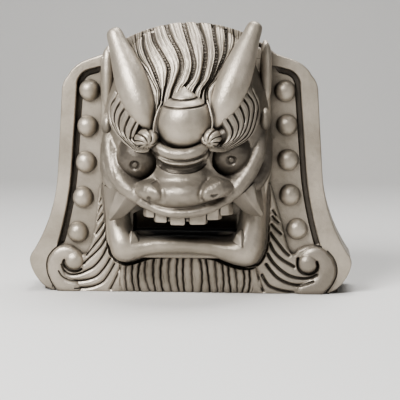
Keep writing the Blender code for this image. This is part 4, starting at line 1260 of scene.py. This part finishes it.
def smoked_clay():
    """Smoked clay: a silver grey sheen over dark, mottled and grained, sooty where it is hollow."""
    made = bpy.data.materials.get("kiln_silver")
    if made:
        return made
    finish = bpy.context.scene.onigawara_clay
    made = bpy.data.materials.new("kiln_silver")
    made.use_nodes = True
    nodes, links = made.node_tree.nodes, made.node_tree.links
    shader = nodes["Principled BSDF"]
    shader.inputs["Metallic"].default_value = finish.metallic
    shader.inputs["Specular IOR Level"].default_value = 0.3

    def add(kind, values=(), sources=()):
        """A new node with numbers on some of its sockets and other nodes' results on others."""
        node = nodes.new("ShaderNode" + kind)
        for socket, value in dict(values).items():
            node.inputs[socket].default_value = value
        for socket, source in dict(sources).items():
            links.new(source, node.inputs[socket])
        return node

    where = add("TexCoord").outputs["Object"]

    def noise(scale, detail, rough=0.55):
        values = {"Scale": scale, "Detail": detail, "Roughness": rough}
        return add("TexNoise", values, {"Vector": where}).outputs["Fac"]

    def spread(value, low, high, out_low=0.0, out_high=1.0):
        values = {"From Min": low, "From Max": high, "To Min": out_low, "To Max": out_high}
        return add("MapRange", values, {"Value": value}).outputs["Result"]

    def mixed(share, first, second):
        """A colour mix; its two colours are the sockets numbered 6 and 7."""
        node = add("Mix", (), {"Factor": share})
        node.data_type = "RGBA"
        for value, socket in ((first, node.inputs[6]), (second, node.inputs[7])):
            if isinstance(value, bpy.types.NodeSocket):
                links.new(value, socket)
            else:
                socket.default_value = (*value, 1.0)
        return node.outputs[2]

    def openness(distance, samples):
        node = add("AmbientOcclusion", {"Distance": distance})
        node.samples = samples
        return node.outputs["AO"]

    def bumped(strength, distance, height, below=()):
        values = {"Strength": strength, "Distance": distance}
        return add("Bump", values, {"Height": height, **dict(below)}).outputs["Normal"]

    grain = noise(1500.0, 3.0, 0.65)
    colour = mixed(spread(noise(38.0, 4.0), 0.36, 0.64), finish.silver, finish.bright)
    speck = spread(noise(900.0, 2.0), 0.58, 0.72)
    colour = mixed(spread(speck, 0.0, 1.0, 0.0, 0.07), colour, finish.painted_shade)
    # painted shade: darker in creases, and in deep hollows, where little is open round a point
    colour = mixed(spread(openness(0.006, 8), 0.2, 0.8, 0.85, 0.0), colour, finish.painted_shade)
    colour = mixed(spread(openness(0.045, 6), 0.12, 0.45, 1.0, 0.0), colour, finish.painted_shade)
    # painted shade: near black inside the mouth, fading out with distance from a point behind the teeth
    away = where
    for operation, numbers in (("SUBTRACT", THROAT_MIDDLE), ("DIVIDE", THROAT_REACH), ("LENGTH", None)):
        node = add("VectorMath", {1: numbers} if numbers else (), {0: away})
        node.operation = operation
        away = node.outputs["Value" if operation == "LENGTH" else "Vector"]
    colour = mixed(spread(away, 0.75, 1.05, 1.0, 0.0), colour, THROAT_SHADE)
    # painted shade from each piece's attribute: cuts, grooves, hollows and shaded sides
    held = add("Attribute")
    held.attribute_name = "painted_shade"
    colour = mixed(spread(held.outputs["Fac"], 0.0, 1.0, 0.0, 0.9), colour, finish.painted_shade)
    links.new(colour, shader.inputs["Base Color"])
    rough = spread(grain, 0.3, 0.7, finish.roughness - 0.07, finish.roughness + 0.09)
    links.new(rough, shader.inputs["Roughness"])
    fine = bumped(0.7, finish.grain_depth, grain)
    broad = bumped(0.55, finish.tool_depth, noise(300.0, 4.0, 0.62), {"Normal": fine})
    links.new(broad, shader.inputs["Normal"])
    return made


# ---------------------------------------------------------------- stage


CAMERA_LENS = 120.9
CAMERA_AIM = (8.19, RIM_Y, 69.6)
CAMERA_AWAY = 1.0  # metres
CAMERA_TURN, CAMERA_RISE = math.radians(4.5), math.radians(6.0)  # to the right of the front, and up
LAMP_AIM = (0.0, 0.0, 0.1)
LAMPS = (  # name, place, size in metres, and share of the main light's power
    ("key", (-0.6, -0.88, 0.92), 0.6, 1.0), ("fill", (0.9, -1.0, 0.5), 0.8, 0.07),
    ("top", (0.1, 0.2, 1.1), 0.6, 0.35),
)  # fmt: skip


def add_aimed(name, data, where, target):
    """A lamp or camera at a place, turned to look at another."""
    thing = bpy.data.objects.new(name, data)
    thing.location = where
    thing.rotation_euler = (Vector(target) - thing.location).to_track_quat("-Z", "Y").to_euler()
    bpy.context.scene.collection.objects.link(thing)
    return thing


def add_floor(colour):
    """A pale sheet that runs level under the tile and curves up behind it by a quarter circle."""
    swing = np.radians(np.linspace(0.0, 90.0, 24))
    y = np.concatenate(([-2.2], 0.9 + 0.6 * np.sin(swing), [1.5]))
    z = np.concatenate(([0.0], 0.6 - 0.6 * np.cos(swing), [2.6]))
    grid = grid_of(np.linspace(-2.4, 2.4, 9)[None], y[:, None], z[:, None])
    mesh = bpy.data.meshes.new("floor")
    mesh.from_pydata(grid.reshape(-1, 3).tolist(), [], grid_faces(*grid.shape[:2], False).tolist())
    mesh.shade_smooth()
    paper = bpy.data.materials.new("pale_paper")
    paper.use_nodes = True
    shader = paper.node_tree.nodes["Principled BSDF"]
    shader.inputs["Base Color"].default_value = (*colour, 1.0)
    shader.inputs["Roughness"].default_value = 0.85
    mesh.materials.append(paper)
    floor = bpy.data.objects.new("floor", mesh)
    bpy.context.scene.collection.objects.link(floor)


def build_stage():
    """A pale floor that curves up behind, three soft lights and the camera."""
    scene = bpy.context.scene
    sizes = scene.onigawara_stage
    add_floor(sizes.floor_colour)
    for name, where, size, share in LAMPS:
        light = bpy.data.lights.new(name, "AREA")
        light.size = size
        light.energy = sizes.key_power * share
        add_aimed(name, light, where, LAMP_AIM)
    world = bpy.data.worlds.new("studio")
    world.use_nodes = True
    sky = world.node_tree.nodes["Background"].inputs
    sky["Color"].default_value = (0.95, 0.97, 1.0, 1.0)
    sky["Strength"].default_value = sizes.room_light
    scene.world = world
    lens = bpy.data.cameras.new("camera")
    lens.lens = CAMERA_LENS
    lens.sensor_width = 36.0
    lens.clip_start, lens.clip_end = 0.05, 20.0
    level = math.cos(CAMERA_RISE)
    toward = (math.sin(CAMERA_TURN) * level, -math.cos(CAMERA_TURN) * level, math.sin(CAMERA_RISE))
    target = np.array(CAMERA_AIM) * MM
    scene.camera = add_aimed("camera", lens, target + CAMERA_AWAY * np.array(toward), target)
    scene.view_settings.look = "AgX - Medium High Contrast"


# ---------------------------------------------------------------- the add-on


class OnigawaraSizes(bpy.types.PropertyGroup):
    field_depth: FloatProperty(
        name="Field depth", description="How far the studded fields lie below the rim",
        default=0.0045, min=0.001, max=0.008, unit="LENGTH")  # fmt: skip
    channel_depth: FloatProperty(
        name="Channel depth", description="Depth of the channel along the rim's inner edge",
        default=0.0072, min=0.002, max=0.009, unit="LENGTH")  # fmt: skip
    edge_round: FloatProperty(
        name="Edge rounding", description="Radius of the plate's worn edges",
        default=0.0013, min=0.0003, max=0.003, unit="LENGTH")  # fmt: skip
    stud_radius: FloatProperty(
        name="Stud radius", description="Radius of each pressed ball",
        default=0.008, min=0.004, max=0.010, unit="LENGTH")  # fmt: skip
    cut_depth: FloatProperty(
        name="Hair cut depth", description="Depth of the cuts between the locks of the crown",
        default=0.0026, min=0.0005, max=0.004, unit="LENGTH")  # fmt: skip


class OnigawaraClay(bpy.types.PropertyGroup):
    silver: FloatVectorProperty(
        name="Silver", description="The clay's usual smoked colour",
        default=(0.345, 0.305, 0.250), size=3, min=0.0, max=1.0, subtype="COLOR")  # fmt: skip
    bright: FloatVectorProperty(
        name="Bright", description="Where the smoke took most evenly",
        default=(0.49, 0.435, 0.365), size=3, min=0.0, max=1.0, subtype="COLOR")  # fmt: skip
    # the colour of the painted shade in cuts, hollows and shaded sides; the random specks take it too
    painted_shade: FloatVectorProperty(
        name="Painted_shade_colour", description="The dark in cuts and hollows",
        default=(0.085, 0.073, 0.060), size=3, min=0.0, max=1.0, subtype="COLOR")  # fmt: skip
    roughness: FloatProperty(
        name="Roughness", description="How far the sheen is spread",
        default=0.39, min=0.1, max=1.0)  # fmt: skip
    metallic: FloatProperty(
        name="Metallic", description="How metallic the smoked skin looks",
        default=0.6, min=0.0, max=1.0)  # fmt: skip
    grain_depth: FloatProperty(
        name="Grain depth", description="Height of the clay's fine grain",
        default=0.00012, min=0.0, max=0.001, unit="LENGTH")  # fmt: skip
    tool_depth: FloatProperty(
        name="Tool mark depth", description="Height of the marks that the hand and tool left",
        default=0.0006, min=0.0, max=0.003, unit="LENGTH")  # fmt: skip


class OnigawaraStage(bpy.types.PropertyGroup):
    floor_colour: FloatVectorProperty(
        name="Floor", description="Colour of the floor and backdrop",
        default=(0.72, 0.71, 0.69), size=3, min=0.0, max=1.0, subtype="COLOR")  # fmt: skip
    key_power: FloatProperty(
        name="Key light", description="Power of the main light",
        default=28.0, min=0.0, unit="POWER")  # fmt: skip
    room_light: FloatProperty(
        name="Room light", description="Strength of the even light from all round",
        default=0.05, min=0.0)  # fmt: skip


def operator(name, label, words, build):
    """An operator class that builds one piece or group of like pieces."""

    def execute(self, context):
        build()
        return {"FINISHED"}

    return type(
        "ONIGAWARA_OT_" + name,
        (bpy.types.Operator,),
        {
            "__doc__": words,
            "bl_idname": "onigawara." + name,
            "bl_label": label,
            "bl_options": {"REGISTER", "UNDO"},
            "execute": execute,
        },
    )


OPERATORS = (
    operator("plate", "Plate", "The flared plate with its sunk fields, studs and head block", build_plate),
    operator("face", "Face", "The blended face, with its eyes, nose and wrinkles", build_face),
    operator("brows", "Brows", "Combed brows, their curls and the ears", build_brows),
    operator("horns", "Horns and jewel", "Both horns and the jewel between them", build_horns),
    operator("hair", "Hair", "The locks that rise to the crown", build_hair),
    operator("jaw", "Jaw", "The lower jaw, the teeth and the fangs", build_jaw),
    operator("beard", "Beard", "The beard, the whiskers and the volutes at the feet", build_beard),
    operator("stage", "Stage", "Floor, lights and camera", build_stage),
)


class ONIGAWARA_PT_parts(bpy.types.Panel):
    """Lists what can be built and the sizes that it takes"""

    bl_idname = "ONIGAWARA_PT_parts"
    bl_label = "Onigawara"
    bl_space_type = "VIEW_3D"
    bl_region_type = "UI"
    bl_category = "Onigawara"

    def draw(self, context):
        for made in OPERATORS:
            self.layout.operator(made.bl_idname)
        for group in ("onigawara_sizes", "onigawara_clay", "onigawara_stage"):
            held = getattr(context.scene, group)
            for name in held.bl_rna.properties.keys()[2:]:  # past the type and the name
                self.layout.prop(held, name)


GROUPS = (
    ("onigawara_sizes", OnigawaraSizes),
    ("onigawara_clay", OnigawaraClay),
    ("onigawara_stage", OnigawaraStage),
)


def register():
    for name, group in GROUPS:
        bpy.utils.register_class(group)
        setattr(bpy.types.Scene, name, PointerProperty(type=group))
    for made in (*OPERATORS, ONIGAWARA_PT_parts):
        bpy.utils.register_class(made)


def unregister():
    for made in (ONIGAWARA_PT_parts, *reversed(OPERATORS)):
        bpy.utils.unregister_class(made)
    for name, group in reversed(GROUPS):
        delattr(bpy.types.Scene, name)
        bpy.utils.unregister_class(group)


def main():
    """Builds everything in order, and writes down the sizes of the solid and of what was built."""
    register()
    for made in OPERATORS:
        area, name = made.bl_idname.split(".")
        getattr(getattr(bpy.ops, area), name)()


if __name__ == "__main__":
    main()
